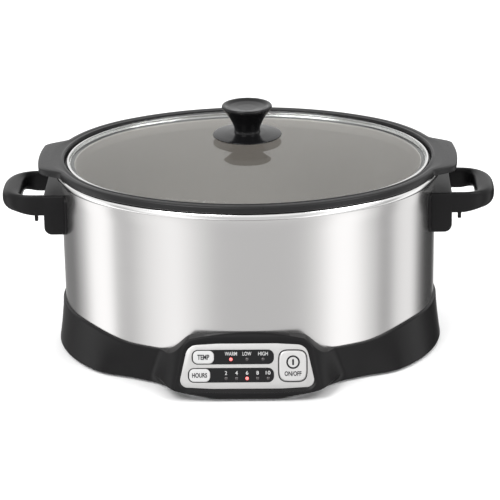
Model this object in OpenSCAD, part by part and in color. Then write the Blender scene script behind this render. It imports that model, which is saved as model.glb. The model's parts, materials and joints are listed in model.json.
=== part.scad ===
// Oval six-quart slow cooker with a lift-out pot, a glass lid and a push-button console.
// The middle of the oval stands oval_y behind the origin, which is the centre of the whole footprint.

/* [Oval plan] */
// Distance of the two end-arc centres from the middle, along X
end_centre = 45.6; // [36:1:60]
// Distance of the two side-arc centres from the middle, along Y
side_centre = 69; // [56:1:84]
// Offset of the housing wall from the oval's skeleton, at its top edge
shell_r = 126; // [104:1:152]

/* [Housing] */
// Height of the housing's top edge above the table
body_h = 162.2; // [134:1:196]
// Thickness of the housing sheet
shell_wall = 1; // [0.6:0.1:1.6]
// How much narrower the housing is at its lower edge
shell_taper = 1.2; // [0:0.1:3]

/* [Base] */
// Gap between the base's lower edge and the table
base_lift = 2; // [1.5:0.5:6]
// Height of the base above its lower edge, at the ends
base_end_h = 41; // [36:1:50]
// Height of the base above its lower edge, beside the console
base_saddle_h = 34; // [30:1:38]
// Height of the base above its lower edge, over the console
hood_h = 55.5; // [51:1:65]
// How far the foot of the base flares out at the ends
base_flare = 4.4; // [0:0.2:8]
// Wall thickness of the base moulding
base_wall = 2.5; // [2:0.1:3.5]
// Radius of a rubber foot
foot_r = 8; // [6:0.5:12]

/* [Console] */
// Width of the fascia along its lower edge
panel_w = 123; // [102:1:147]
// Width of the fascia along its upper edge
panel_top_w = 103; // [86:1:123]
// Height of the fascia along its slope
panel_h = 40; // [38:1:44]
// Lean of the fascia from upright, in degrees
panel_tilt = 22; // [14:1:26]
// Distance from the housing's front to the middle of the fascia
panel_reach = 12.8; // [12:0.2:18]
// Thickness of the fascia plate
fascia_t = 1.2; // [0.8:0.1:1.6]
// Height of a display window
window_h = 12.6; // [10:0.2:14]
// Width of the TEMP and HOURS buttons
key_w = 18.6; // [15:0.2:20]
// Width of the ON/OFF button
power_w = 24; // [20:0.5:27]
// Height of the ON/OFF button
power_h = 26.8; // [22:0.5:30]
// Travel of a button
key_travel = 0.6; // [0.3:0.1:0.8]
// Radius of an indicator lamp
led_r = 1.5; // [1:0.1:2]

/* [Pot] */
// Offset from the housing wall's face out to the pot's rim
rim_over = 6; // [4:0.5:9]
// Thickness of the pot's rim
rim_t = 6.8; // [6:0.2:9]
// How far an ear reaches beyond the rim
ear_reach = 14; // [8:0.5:20]
// Thickness of the pot's wall
pot_wall = 3.2; // [2.4:0.1:5]
// Draft of the pot's wall over its whole depth
pot_draft = 6; // [3:0.5:10]

/* [Well] */
// Gap between the housing and the heating well
well_gap = 7.8; // [6:0.2:12]
// Thickness of the well's sheet
well_wall = 1; // [0.6:0.1:1.6]
// Height of the space for the electrics under the well
bay_h = 31; // [28:1:40]
// Height of the band heater
heater_h = 28; // [20:1:40]

/* [Lid] */
// Thickness of the glass
glass_t = 3.5; // [3:0.1:5]
// Rise of the glass from its rim to its middle
dome_rise = 21.5; // [14:0.5:30]
// Radius of the knob's head
knob_r = 23; // [19:0.5:28]
// Height of the knob
knob_h = 25.5; // [20:0.5:32]
// Radius of the collar under the knob
collar_r = 31.5; // [26:0.5:38]

/* [Handles] */
// Reach of a handle beyond the housing
handle_reach = 54; // [46:1:65]
// Width of a handle
handle_w = 75; // [62:1:84]
// Distance from the housing's top edge down to a handle's top
handle_drop = 12; // [9:0.5:18]
// Height of the bracket that holds a handle
bracket_h = 37.5; // [31:0.5:45]
// Width of the grip bar
grip_w = 18; // [14:0.5:20]

/* [Cord entry] */
// Radius of the passage through the gland
cord_r = 4; // [3:0.1:4.6]

/* [Hidden] */

$fn = 48;
slip = 0.15;        // gap round a piece that is set into another
fit = 0.05;         // gap round a screw or a stud in its hole
seat = 0.3;         // gap under a piece that lifts off
arc_steps = 12;     // facets on each half arc of the oval

// --- Plan of the oval: two end arcs and two side arcs that share their tangents ---
arc_gap = norm([end_centre, side_centre]);
join_a = atan2(side_centre, end_centre);
dense_a = 26;           // the facets are finer within this angle of the two ends, where the ears are
arc_marks = [[0, 0], [0.66, dense_a], [1, join_a], [2, 90],
             [3, 180 - join_a], [3.34, 180 - dense_a], [4, 180], [4.66, 180 + dense_a],
             [5, 180 + join_a], [6, 270], [7, 360 - join_a], [7.34, 360 - dense_a], [8, 360]];
normals = [for (i = [0 : 8 * arc_steps - 1]) lookup(i / arc_steps, arc_marks)];
fine_normals = [for (i = [0 : 16 * arc_steps - 1]) lookup(i / arc_steps / 2, arc_marks)];

function half_width(r) = end_centre + r;
function half_depth(r) = r + arc_gap - side_centre;

// Point of the oval of offset r where its normal points along angle a
function oval_pt(a, r) =
    a < join_a || a > 360 - join_a ? [end_centre + r * cos(a), r * sin(a)] :
    a < 180 - join_a ? [(r + arc_gap) * cos(a), (r + arc_gap) * sin(a) - side_centre] :
    a < 180 + join_a ? [r * cos(a) - end_centre, r * sin(a)] :
    [(r + arc_gap) * cos(a), (r + arc_gap) * sin(a) + side_centre];

function mix(a, b, f) = a + (b - a) * f;
function ease(f) = let (g = max(0, min(1, f))) g * g * (3 - 2 * g);

// --- Heights, from the table up ---
plate_t = 1.2;
plate_gap = 1.8;                         // gap between the bottom plate and the base's wall
plate_z = base_lift + 2;
plate_top = plate_z + plate_t;
well_z = plate_top + bay_h;
flange_z = body_h + 7.5;                 // flat top of the well's flange
rim_z = flange_z + seat;
rim_top = rim_z + rim_t;
ledge_z = rim_top - 5.8;                 // ledge inside the rim that carries the lid
pot_z = well_z + well_wall + 4;          // underside of the pot's floor
lid_z = ledge_z + seat;
band_t = 3.4;                            // height of the lid's rim band
dome_z = lid_z + band_t - 0.6 + dome_rise;
collar_t = 3;
knob_z = dome_z + collar_t;

// --- Radial offsets ---
well_r = shell_r - shell_wall - well_gap;
pot_r = well_r - well_wall - 1.8;
rim_r = shell_r + rim_over;
bead_r = rim_r - 1;
ledge_out = pot_r + 7.4;
ledge_in = pot_r - 2;
lid_r = ledge_out - 1.6;
front_y = half_depth(shell_r);           // front face of the housing, as a distance
function shell_out(z) = shell_r - shell_taper * (body_h - z) / body_h;

// --- Base outline ---
lap_z = base_lift + base_saddle_h - 9;   // lower edge of the housing, inside the base
lip_r = shell_r + 1.5;
hood_z = base_lift + hood_h;
panel_cz = hood_z - 7.6 - panel_h * cos(panel_tilt) / 2 - 1;
panel_cy = front_y + panel_reach;
bezel = 0.6;                             // how far the moulding stands in front of the fascia
panel_low_z = panel_cz - panel_h * cos(panel_tilt) / 2;
panel_high_z = panel_cz + panel_h * cos(panel_tilt) / 2;
nose_in = 24;                            // flat half width of the console's foot
nose_out = panel_w / 2 + 28;             // half width at which the console has died away
function panel_face(z) = panel_cy + bezel + (panel_cz - z) * tan(panel_tilt);
function panel_half(z) = mix(panel_w / 2, panel_top_w / 2, (z - panel_low_z) / (panel_high_z - panel_low_z));

// Foremost line of the console at height z, as a distance in front of the middle
function nose_y(z) = lookup(z, [
    [base_lift, panel_face(panel_low_z) + 1],
    [base_lift + 3, panel_face(panel_low_z) + 2.2],
    [panel_low_z - 4, panel_face(panel_low_z) + 2.2],
    [panel_low_z - 1, panel_face(panel_low_z - 1)],
    [panel_high_z + 2, panel_face(panel_high_z + 2)],
    [hood_z - 3, front_y + 4],
    [hood_z, front_y + 1.6]]);

// Share of the console's depth at half width x and height z
function nose_share(x, z) =
    let (rise = ease((z - base_lift) / (panel_low_z - base_lift)),
         inner = mix(nose_in, panel_half(z) + 2.5, rise),
         outer = mix(nose_out, panel_half(z) + 25, rise))
    1 - ease((x - inner) / (outer - inner));

hood_bow = 5;                            // how far the hood's top edge drops towards its corners
// Top edge of the base: level at the ends, lower beside the console and raised over it
function base_top(p) =
    let (x = abs(p.x), span = half_width(shell_r),
         ends = mix(base_saddle_h, base_end_h, ease((x / span - 0.6) / 0.3)),
         console = p.y < 0 ? 1 - ease((x - panel_top_w / 2 + 1.5) / 24) : 0,
         hood = hood_h - hood_bow * pow(min(x / panel_top_w * 2, 1.2), 2))
    base_lift + mix(p.y < 0 ? ends : mix(ends, base_end_h, 0.5), hood, console);

// Plan point of the base's wall at height z, moved inwards by depth
function base_pt(a, z, depth) =
    let (p = oval_pt(a, lip_r),
         top = base_top(p),
         ends = ease((abs(p.x) / half_width(shell_r) - 0.6) / 0.2),
         sink = pow(max(0, (top - z) / (top - base_lift)), 1.4),
         r = lip_r + mix(-2.8, base_flare, ends) * sink,
         lapped = depth > 0 ? ease((z - lap_z + 5) / 4) : 0,
         q = oval_pt(a, mix(r - depth, shell_out(z) + slip, lapped)),
         open = depth > 0 ? 1 - ease((z - top + 8) / 5) : 1,
         y = q.y < 0 ? -mix(-q.y, max(-q.y, nose_y(z) - depth), nose_share(abs(q.x), z) * open) : q.y)
    [q.x, y];

// Ring round the base's wall at share t of its height
function base_ring(t, depth = 0) = [for (a = fine_normals)
    let (z = mix(base_lift, base_top(oval_pt(a, lip_r)), t), p = base_pt(a, z, depth)) [p.x, p.y, z]];

// --- Rings for lofted pieces ---
// Extra reach of the rim where an ear grows out of it
function ear_at(a) =
    let (off = min(abs(a), abs(a - 180), abs(a - 360)))
    (ear_reach + 1.2 * pow(off / 14, 2)) * (1 - ease((off - 12.5) / 10));

function ring(r, z, ear = 0) = [for (a = normals) let (p = oval_pt(a, r + ear * ear_at(a))) [p.x, p.y, z]];
function shrunk_ring(r, s, z) = [for (a = normals) let (p = oval_pt(a, r)) [p.x * s, p.y * s, z]];

// Skin over a stack of rings; a looped stack joins its last ring to its first
module loft(rings, looped = false) {
    n = len(rings[0]);
    m = len(rings);
    last = looped ? m - 1 : m - 2;
    sides = [for (i = [0 : last]) for (j = [0 : n - 1])
        let (k = (j + 1) % n, up = (i + 1) % m)
        [i * n + j, up * n + j, up * n + k, i * n + k]];
    caps = looped ? [] : [[for (j = [0 : n - 1]) j], [for (j = [n - 1 : -1 : 0]) (m - 1) * n + j]];
    polyhedron(points = [for (each_ring = rings) each each_ring], faces = concat(sides, caps), convexity = 8);
}

module oval2d(r) polygon([for (a = normals) oval_pt(a, r)]);

module oval_slab(r, z, t) translate([0, 0, z]) linear_extrude(t) oval2d(r);

module oval_tube(r_in, r_out, z, t) {
    translate([0, 0, z]) linear_extrude(t) difference() {
        oval2d(r_out);
        oval2d(r_in);
    }
}

module in_place() translate([0, oval_y, 0]) children();

module four_corners(x, y) {
    for (sx = [-1, 1]) for (sy = [-1, 1]) translate([sx * x, sy * y, 0]) children();
}

// Rectangle with round corners, made of plain pieces so that its corners stay true arcs
module soft_rect(w, h, r) {
    square([w - 2 * r, h], center = true);
    square([w, h - 2 * r], center = true);
    for (sx = [-1, 1]) for (sy = [-1, 1]) translate([sx * (w / 2 - r), sy * (h / 2 - r)]) circle(r);
}

// Wire of radius r along a path that lies in one upright plane, square to X
module wire(path, r, sides = 8) {
    n = len(path);
    headings = [for (i = [0 : n - 1])
        let (d = path[min(i + 1, n - 1)] - path[max(i - 1, 0)]) atan2(d.z, d.y)];
    loft([for (i = [0 : n - 1]) [for (j = [0 : sides - 1])
        let (a = 360 * j / sides, u = r * sin(a))
        path[i] + [-r * cos(a), -u * sin(headings[i]), u * cos(headings[i])]]]);
}

// --- Footprint: the console reaches further forward than the rim reaches back ---
foot_front = nose_y(base_lift + 3);
foot_back = half_depth(rim_r);
oval_y = (foot_front - foot_back) / 2;

// --- Base assembly ---
foot_pos = [end_centre + shell_r * 0.47, shell_r * 0.57];
boss_a = 35;                              // direction of a base boss from the end-arc centre
boss_r = shell_r - shell_taper - 5.6;
boss_pos = [end_centre + boss_r * cos(boss_a), boss_r * sin(boss_a)];
screw_r = 1.5;

module panel_frame() translate([0, -panel_cy, panel_cz]) rotate([90 - panel_tilt, 0, 0]) children();

// Outline of the fascia: a trapezium with round corners, grown by extra
module panel_outline(extra = 0) {
    low = 7 + extra;
    high = 11 + extra;
    x_low = panel_w / 2 + extra;
    x_high = panel_top_w / 2 + extra;
    y = panel_h / 2 + extra;
    hull() for (s = [-1, 1]) {
        translate([s * (x_low - low - 0.8), low - y]) circle(low, $fn = 32);
        translate([s * (x_high - high + 1.4), y - high]) circle(high, $fn = 32);
    }
}

module base_skirt() color([0.09, 0.09, 0.1]) {
    difference() {
        loft(concat(
            [for (t = [0, 0.05, 0.13, 0.22, 0.34, 0.5, 0.66, 0.8, 0.87, 0.93, 0.97, 1]) base_ring(t)],
            [for (t = [1, 0.93, 0.84, 0.72, 0.5, 0.34, 0.13, 0]) base_ring(t, base_wall)]), looped = true);
        panel_frame() translate([0, 0, -fascia_t - 0.1]) linear_extrude(12) panel_outline(slip);
        panel_frame() translate([0, 0, -12]) linear_extrude(12) console_opening();
        panel_frame() translate([0, board_y, -board_gap - board_t / 2])
            cube([board_w + 2 * slip, board_h + 2 * slip, board_t + 2 * slip], center = true);
        gland_axis() cylinder(h = 40, r = gland_r + fit, center = true);
        for (x = [-2 : 2]) translate([x * 9, half_depth(lip_r) - 4, base_lift + 29])
            cube([4, 12, 3], center = true);
    }
    for (sx = [0, 1]) for (sy = [0, 1]) mirror([sx, 0, 0]) mirror([0, sy, 0]) base_boss();
    console_seat();
    board_posts();
}

// Opening behind the fascia, with room for the buttons
module console_opening() {
    panel_outline(-5);
    key_2d(temp_x, row_y, 0.6);
    key_2d(hours_x, -row_y, 0.6);
    power_2d(0.6);
}

// Frame that carries the edge of the fascia
module console_seat() panel_frame() translate([0, 0, -fascia_t - 1.9]) linear_extrude(1.8) difference() {
    panel_outline(1.5);
    console_opening();
}

boss_h = 13;
// Screw boss inside the base, with the rib that ties it to the wall
module base_boss() difference() {
    union() {
        translate([boss_pos.x, boss_pos.y, plate_top]) cylinder(h = boss_h, r = 4.2);
        translate([end_centre, 0, plate_top]) rotate(boss_a) translate([boss_r, -1.5, 0])
            cube([lip_r + 1 - boss_r, 3, boss_h]);
    }
    translate([boss_pos.x, boss_pos.y, 0]) cylinder(h = plate_top + boss_h - 2, r = screw_r);
}

board_w = panel_w - 33;
board_h = panel_h - 9;
board_t = 1.4;
board_gap = 5;                            // from the fascia's face to the front of the board
board_y = -1;                             // middle of the board, along the slope

module board_posts() panel_frame() for (x = post_xs) translate([x, board_y, 0]) difference() {
    translate([0, 0, -board_gap]) soft_post(board_gap - fascia_t - 0.1);
    translate([0, 0, -board_gap - 1]) cylinder(h = board_gap - fascia_t, r = 0.8);
}

// Post that bridges from the board up to the frame round the console's opening
module soft_post(h) linear_extrude(h) {
    circle(2.2);
    translate([-1.4, 0]) square([2.8, panel_h / 2]);
}

module bottom_plate() color([0.62, 0.63, 0.64]) difference() {
    translate([0, 0, plate_z]) linear_extrude(plate_t)
        polygon([for (a = fine_normals) base_pt(a, plate_z, base_wall + plate_gap)]);
    four_corners(foot_pos.x, foot_pos.y) cylinder(h = 40, r = foot_stem + fit, center = true);
    four_corners(boss_pos.x, boss_pos.y) cylinder(h = 40, r = screw_r + 0.3, center = true);
    four_corners(bolt_pos.x, bolt_pos.y) cylinder(h = 40, r = bolt_r + fit, center = true);
    for (sx = [-1, 1]) for (i = [-2 : 2]) translate([sx * 30, i * 12, plate_z])
        cube([34, 4, 10], center = true);
}

foot_stem = 3;
module rubber_feet() color([0.05, 0.05, 0.05]) four_corners(foot_pos.x, foot_pos.y) {
    cylinder(h = 1, r1 = foot_r - 1, r2 = foot_r);
    translate([0, 0, 1]) cylinder(h = plate_z - 1, r = foot_r);
    translate([0, 0, plate_z]) cylinder(h = plate_t, r = foot_stem);
    translate([0, 0, plate_top]) cylinder(h = 2, r1 = foot_stem + 1, r2 = foot_stem - 0.8);
}

module base_screws() color([0.7, 0.7, 0.72]) four_corners(boss_pos.x, boss_pos.y) {
    translate([0, 0, plate_z - 1.6]) pan_screw(screw_r - fit, 12, 3);
}

// Screw with its head at the bottom and its shank up along +Z, with a cross slot
module pan_screw(r, length, head_r) {
    difference() {
        cylinder(h = 1.6, r1 = head_r - 0.5, r2 = head_r);
        for (a = [0, 90]) rotate(a) translate([0, 0, 0.3]) cube([head_r * 1.2, 0.6, 1], center = true);
    }
    translate([0, 0, 1.6]) cylinder(h = length - 1.6, r = r);
}

// --- Housing ---
module shell_solid() loft([ring(shell_out(lap_z), lap_z), ring(shell_r, body_h)]);

module outer_shell() color([0.8, 0.8, 0.81]) difference() {
    loft([
        ring(shell_out(lap_z), lap_z),
        ring(shell_out(mix(lap_z, body_h, 0.5)), mix(lap_z, body_h, 0.5)),
        ring(shell_r, body_h),
        ring(shell_r - shell_wall, body_h),
        ring(shell_out(lap_z) - shell_wall, lap_z)], looped = true);
    handle_holes(handle_screw_r + fit);
}

module heating_well() color([0.78, 0.78, 0.79]) difference() {
    loft([
        ring(well_r - 14, well_z),
        ring(well_r - 5, well_z + 1.6),
        ring(well_r - 1.2, well_z + 6),
        ring(well_r, well_z + 13),
        ring(well_r, body_h + 4),
        ring(shell_r - 1, body_h + 4),
        ring(shell_r - 1, body_h + 0.3),
        ring(bead_r - 2, body_h + 0.9),
        ring(bead_r - 0.3, body_h + 2.4),
        ring(bead_r, body_h + 4.4),
        ring(bead_r - 1.2, flange_z - 0.9),
        ring(bead_r - 4, flange_z),
        ring(well_r + 1.5, flange_z),
        ring(well_r - well_wall, flange_z - 2),
        ring(well_r - well_wall, well_z + 13),
        ring(well_r - 2.4 - well_wall, well_z + 6.6),
        ring(well_r - 6.5, well_z + well_wall + 1.5),
        ring(well_r - 15, well_z + well_wall)]);
    four_corners(bolt_pos.x, bolt_pos.y) translate([0, 0, well_z])
        cylinder(h = 10, r = bolt_r + fit, center = true);
}

// --- Heater and safety parts ---
heater_z = well_z + 16;
heater_t = 1.8;
heater_r = well_r + fit;

module heater_band() color([0.72, 0.66, 0.55]) {
    oval_tube(heater_r, heater_r + heater_t, heater_z, heater_h);
    for (s = [-1, 1]) translate([s * 14, -half_depth(heater_r + heater_t) - 0.9, heater_z + 4])
        cube([7, 2.6, 8], center = true);
}

strap_r = heater_r + heater_t + fit;
strap_t = 0.7;
module heater_clamp() color([0.7, 0.7, 0.72]) difference() {
    union() {
        oval_tube(strap_r, strap_r + strap_t, heater_z + heater_h / 2 - 1, 10);
        for (s = [-1, 1]) translate([s * 5, half_depth(strap_r) + 2.2, heater_z + heater_h / 2 + 4])
            cube([1.4, 4.4, 10], center = true);
    }
    translate([0, half_depth(strap_r), heater_z]) cube([8.6, 10, 100], center = true);
    clamp_axis() cylinder(h = 30, r = 0.85, center = true);
}

module clamp_axis() translate([0, half_depth(strap_r) + 2.8, heater_z + heater_h / 2 + 4])
    rotate([0, 90, 0]) children();

module clamp_bolt() color([0.6, 0.6, 0.62]) clamp_axis() {
    cylinder(h = 14, r = 0.8, center = true);
    translate([0, 0, 5.75]) cylinder(h = 1.4, r = 1.5, $fn = 6);
    translate([0, 0, -7.15]) cylinder(h = 1.4, r = 1.5);
}

fuse_x = 50;
module thermal_fuse() color([0.82, 0.8, 0.72]) translate([fuse_x, 0, well_z]) {
    translate([0, 0, -4]) rotate([0, 90, 0]) cylinder(h = 16, r = 2.2, center = true);
    translate([0, 0, -2.4]) cube([5, 9, 4.8], center = true);
    translate([0, 0, -4]) rotate([0, 90, 0]) cylinder(h = 26, r = 0.5, center = true);
}

sensor_r = 7;
sensor_deep = 8;                          // how far the sensor's foot stands below the well
module well_sensor() color([0.75, 0.74, 0.7]) translate([0, 0, well_z - sensor_deep]) {
    cylinder(h = 2, r = sensor_r - 3);
    translate([0, 0, 2]) cylinder(h = sensor_deep - 2, r = sensor_r);
}

module sensor_bracket() color([0.75, 0.75, 0.76]) difference() {
    union() {
        translate([0, 0, well_z - sensor_deep + 1]) cube([34, 12, 1], center = true);
        for (s = [-1, 1]) translate([s * 16.5, 0, (shield_z + shield_t + well_z - sensor_deep + 1.5) / 2])
            cube([1, 12, well_z - sensor_deep + 1.5 - shield_z - shield_t], center = true);
    }
    cylinder(h = 200, r = sensor_r - 3 + fit);
}

shield_t = 0.8;
shield_z = plate_top + bay_h - 14;
shield_r = shell_r - shell_taper - 22;
bolt_r = 1.9;
bolt_pos = [end_centre + shell_r * 0.14, shell_r * 0.38];

module heat_shield() color([0.75, 0.76, 0.77]) difference() {
    oval_slab(shield_r, shield_z, shield_t);
    four_corners(bolt_pos.x, bolt_pos.y) cylinder(h = 200, r = bolt_r + fit);
    for (s = [-1, 1]) translate([s * 24, 0, 0]) cylinder(h = 200, r = 4.5);
}

module bolt_sleeves(z, top) four_corners(bolt_pos.x, bolt_pos.y) translate([0, 0, z]) difference() {
    cylinder(h = top - z, r = 4.5);
    translate([0, 0, -1]) cylinder(h = top - z + 2, r = bolt_r + fit);
}

module plate_spacers() color([0.66, 0.67, 0.68]) bolt_sleeves(plate_top, shield_z);
module well_spacers() color([0.66, 0.67, 0.68]) bolt_sleeves(shield_z + shield_t, well_z);

module well_bolts() color([0.6, 0.6, 0.62]) four_corners(bolt_pos.x, bolt_pos.y) {
    translate([0, 0, plate_z - 1.8]) cylinder(h = well_z + well_wall - plate_z + 1.8, r = bolt_r);
    translate([0, 0, well_z + well_wall]) cylinder(h = 1.2, r1 = 3.6, r2 = 2.6);
}

module well_nuts() color([0.6, 0.6, 0.62])
    four_corners(bolt_pos.x, bolt_pos.y) translate([0, 0, plate_z - 1.6])
    difference() {
        cylinder(h = 1.6, r = 3.6, $fn = 6);
        translate([0, 0, -1]) cylinder(h = 4, r = bolt_r + fit);
    }

// --- Handles ---
handle_top = body_h - handle_drop;
handle_x = half_width(shell_r);           // the housing's end, where the bracket stands
bracket_x = handle_x + 14;
hole_x = bracket_x + 0.8;
tip_x = handle_x + handle_reach;
arm_t = 5.5;
handle_screw_r = 2;
handle_screw_y = handle_w * 0.28;
handle_screw_z = handle_top - bracket_h * 0.55;

module handle_holes(r) for (sx = [-1, 1]) for (sy = [-1, 1])
    translate([sx * (handle_x - 6), sy * handle_screw_y, handle_screw_z]) rotate([0, sx * 90, 0])
        cylinder(h = 40, r = r, center = true);

// Plan of the right handle, with its finger opening
module handle_plan() difference() {
    union() {
        translate([handle_x - 20, -handle_w / 2]) square([tip_x - handle_x + 20 - 24, handle_w]);
        translate([tip_x - 24, 12 - handle_w / 2]) square([24 - 2, handle_w - 24]);
        for (s = [-1, 1]) translate([tip_x - 26, s * (handle_w / 2 - 24)]) circle(24);
        intersection() {
            translate([tip_x - 62, 0]) circle(62, $fn = 96);
            translate([tip_x - 10, 0]) square([24, handle_w - 30], center = true);
        }
    }
    translate([(hole_x + tip_x - grip_w) / 2, 0]) soft_rect(tip_x - grip_w - hole_x, handle_w - 2 * arm_t, 6);
}

// Side view of the right handle: bracket, then an arm that thins towards the grip
module handle_side() {
    translate([handle_x - 20, handle_top - 18]) square([tip_x - handle_x + 20 - 20, 18]);
    translate([tip_x - 20, handle_top - 10]) intersection() {
        circle(20);
        translate([-20, -8]) square([40, 18]);
    }
    translate([handle_x - 20, handle_top - bracket_h + 7]) square([bracket_x - handle_x + 20, bracket_h - 7]);
    translate([handle_x - 20, handle_top - bracket_h]) square([bracket_x - handle_x + 20 - 7, 10]);
    translate([bracket_x - 7, handle_top - bracket_h + 7]) circle(7);
}

pad_t = 2;
pad_over = 6;                             // how far the pad shows beyond the bracket on each side
// Pad that hugs the housing behind the bracket
module handle_pad() intersection() {
    oval_tube(shell_r - 3, shell_r + pad_t - 0.6, handle_top - bracket_h, bracket_h);
    translate([handle_x - 20, 0, handle_top - bracket_h / 2]) rotate([0, 90, 0]) linear_extrude(30)
        soft_rect(bracket_h, handle_w + 2 * pad_over, 8);
}

module right_loop() color([0.08, 0.08, 0.09]) difference() {
    union() {
        intersection() {
            translate([0, 0, handle_top - bracket_h]) linear_extrude(bracket_h) handle_plan();
            translate([0, handle_w / 2, 0]) rotate([90, 0, 0]) linear_extrude(handle_w) handle_side();
        }
        translate([bracket_x + 5, -handle_w / 2, handle_top - 24]) cube([3.4, 3, 10]);
        handle_pad();
    }
    shell_solid();
    handle_holes(handle_screw_r - 0.2);
}

module right_handle() right_loop();
module left_handle() mirror([1, 0, 0]) right_loop();

module handle_backing_plates() color([0.65, 0.65, 0.67]) difference() {
    intersection() {
        oval_tube(shell_out(handle_screw_z) - shell_wall - 1.6, shell_out(handle_screw_z) - shell_wall - 0.3,
                  handle_screw_z - 7, 14);
        translate([0, 0, handle_screw_z]) cube([600, handle_w * 0.8, 40], center = true);
    }
    handle_holes(handle_screw_r + fit);
}

module handle_screws() color([0.7, 0.7, 0.72]) for (sx = [-1, 1]) for (sy = [-1, 1]) {
    r = shell_out(handle_screw_z) - shell_wall - 1.6;
    x = end_centre + sqrt(r * r - handle_screw_y * handle_screw_y);
    dip = 3.5 * handle_screw_y / (x - end_centre) + 0.1;   // how far the plate bends away under the head
    translate([sx * (x - 1.6 - dip), sy * handle_screw_y, handle_screw_z]) rotate([0, sx * 90, 0])
        pan_screw(handle_screw_r - 0.25, 16, 3.4);
}

// --- Console ---
row_y = 8;                                // middle of the upper row; the lower row mirrors it

// Half the fascia's width at a height on its slope
function fascia_half(y) = mix(panel_w / 2, panel_top_w / 2, 0.5 + y / panel_h);

key_gap = 0.9;                            // dark margin round a button in its window
temp_x = 14.425 - fascia_half(14.3);
hours_x = 15.025 - fascia_half(-1.7);
key_h = window_h - 2 * key_gap + 0.6;
power_pos = [fascia_half(13.4) - 12.75, 0];
window_end = power_pos.x - 16.7;
window_gap = 0.1;                         // how far a window lies below the fascia's face
temp_pitch = (window_end - temp_x - key_w / 2 - 10.3) / 3;
hours_pitch = (window_end - hours_x - key_w / 2 - 9.8) / 5;
temp_lamp_x = [for (i = [2 : -1 : 0]) window_end - 9.5 - i * temp_pitch];
hours_lamp_x = [for (i = [4 : -1 : 0]) window_end - 5.1 - i * hours_pitch];
post_xs = [mix(hours_x + key_w / 2, hours_lamp_x[0], 0.5786), window_end + 0.8];   // clear of buttons, lamps
temp_lamp_y = row_y - 2;
hours_lamp_y = -row_y - 2.9;

// A window reaches from its button's margin to the common right end
module window_2d(x, y, extra = 0) {
    low = x - key_w / 2 - key_gap - extra;
    high = window_end + extra;
    translate([(low + high) / 2, y]) soft_rect(high - low, window_h + 2 * extra, 5 + extra);
}

module key_2d(x, y, extra = 0) translate([x, y]) soft_rect(key_w + 2 * extra, key_h + 2 * extra, 4.4 + extra);

// Barrel outline of the ON/OFF button: a tall rectangle with bowed sides
barrel_r = 42;
module power_2d(extra = 0) translate(power_pos) intersection() {
    soft_rect(power_w + 2 * extra, power_h + 2 * extra, 7 + extra);
    for (s = [-1, 1]) translate([s * (power_w / 2 - barrel_r), 0]) circle(barrel_r + extra, $fn = 96);
}

module panel_fascia() color([0.78, 0.78, 0.79])
    panel_frame() translate([0, 0, -fascia_t]) linear_extrude(fascia_t)
    difference() {
        panel_outline();
        window_2d(temp_x, row_y, slip);
        window_2d(hours_x, -row_y, slip);
        power_2d(slip);
    }

module window(x, y, lamp_xs, lamp_y) color([0.06, 0.06, 0.07]) panel_frame() translate([0, 0, -fascia_t])
    difference() {
        linear_extrude(fascia_t - window_gap) difference() {
            window_2d(x, y);
            key_2d(x, y, slip);
        }
        for (lx = lamp_xs) translate([lx, lamp_y, -1]) cylinder(h = 4, r = led_r + fit);
    }

module temp_window() window(temp_x, row_y, temp_lamp_x, temp_lamp_y);
module hours_window() window(hours_x, -row_y, hours_lamp_x, hours_lamp_y);

module lamps(xs, y) color([0.75, 0.12, 0.1]) panel_frame() for (x = xs)
    translate([x, y, -board_gap]) cylinder(h = board_gap - window_gap, r = led_r);

module temp_lamps() lamps(temp_lamp_x, temp_lamp_y);
module hours_lamps() lamps(hours_lamp_x, hours_lamp_y);

key_proud = 0.9;
key_deep = 2.4;                           // depth of a button's underside below the fascia's face

module button_solid() panel_frame() translate([0, 0, -key_deep])
    linear_extrude(key_deep + key_proud) children();

module temp_button() color([0.86, 0.86, 0.87]) button_solid() key_2d(temp_x, row_y);
module hours_button() color([0.86, 0.86, 0.87]) button_solid() key_2d(hours_x, -row_y);
module power_button() color([0.82, 0.82, 0.83]) button_solid() power_2d();

module control_board() color([0.1, 0.35, 0.2]) panel_frame() difference() {
    translate([-board_w / 2, board_y - board_h / 2, -board_gap - board_t]) cube([board_w, board_h, board_t]);
    for (x = post_xs) translate([x, board_y, -board_gap - 3]) cylinder(h = 5, r = 1);
}

switch_h = board_gap - key_deep - key_travel - 0.2;
module tact_switches() color([0.2, 0.2, 0.22]) panel_frame() {
    for (p = [[temp_x + 2, row_y], [hours_x + 5.4, -row_y], [power_pos.x - 8, 0]])
        translate([p.x, p.y, -board_gap]) {
            translate([0, 0, switch_h / 4]) cube([5, 5, switch_h / 2], center = true);
            translate([0, 0, switch_h / 2]) cylinder(h = switch_h / 2, r = 1.4);
        }
}

module board_screws() color([0.7, 0.7, 0.72]) panel_frame() for (x = post_xs)
    translate([x, board_y, -board_gap - board_t - 1.6])
        pan_screw(0.75, 1.6 + board_t + board_gap - fascia_t - 1.4, 1.8);

power_board_z = plate_top + 5;
power_board_pos = [0, -shell_r * 0.62];
power_hole = [34, 18];
module at_power_board() translate([power_board_pos.x, power_board_pos.y, power_board_z]) children();

module power_board() color([0.55, 0.42, 0.2]) at_power_board() {
    difference() {
        translate([-38, -22, 0]) cube([76, 44, 1.6]);
        four_corners(power_hole.x, power_hole.y) cylinder(h = 9, r = screw_r + 0.1, center = true);
    }
    translate([22, -6, 1.6]) cylinder(h = 8, r = 5);
    translate([14, 8, 1.6]) cube([12, 5, 6]);
}

module power_relay() color([0.15, 0.25, 0.5]) at_power_board() translate([-24, -10, 1.6]) cube([20, 16, 9]);

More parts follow.
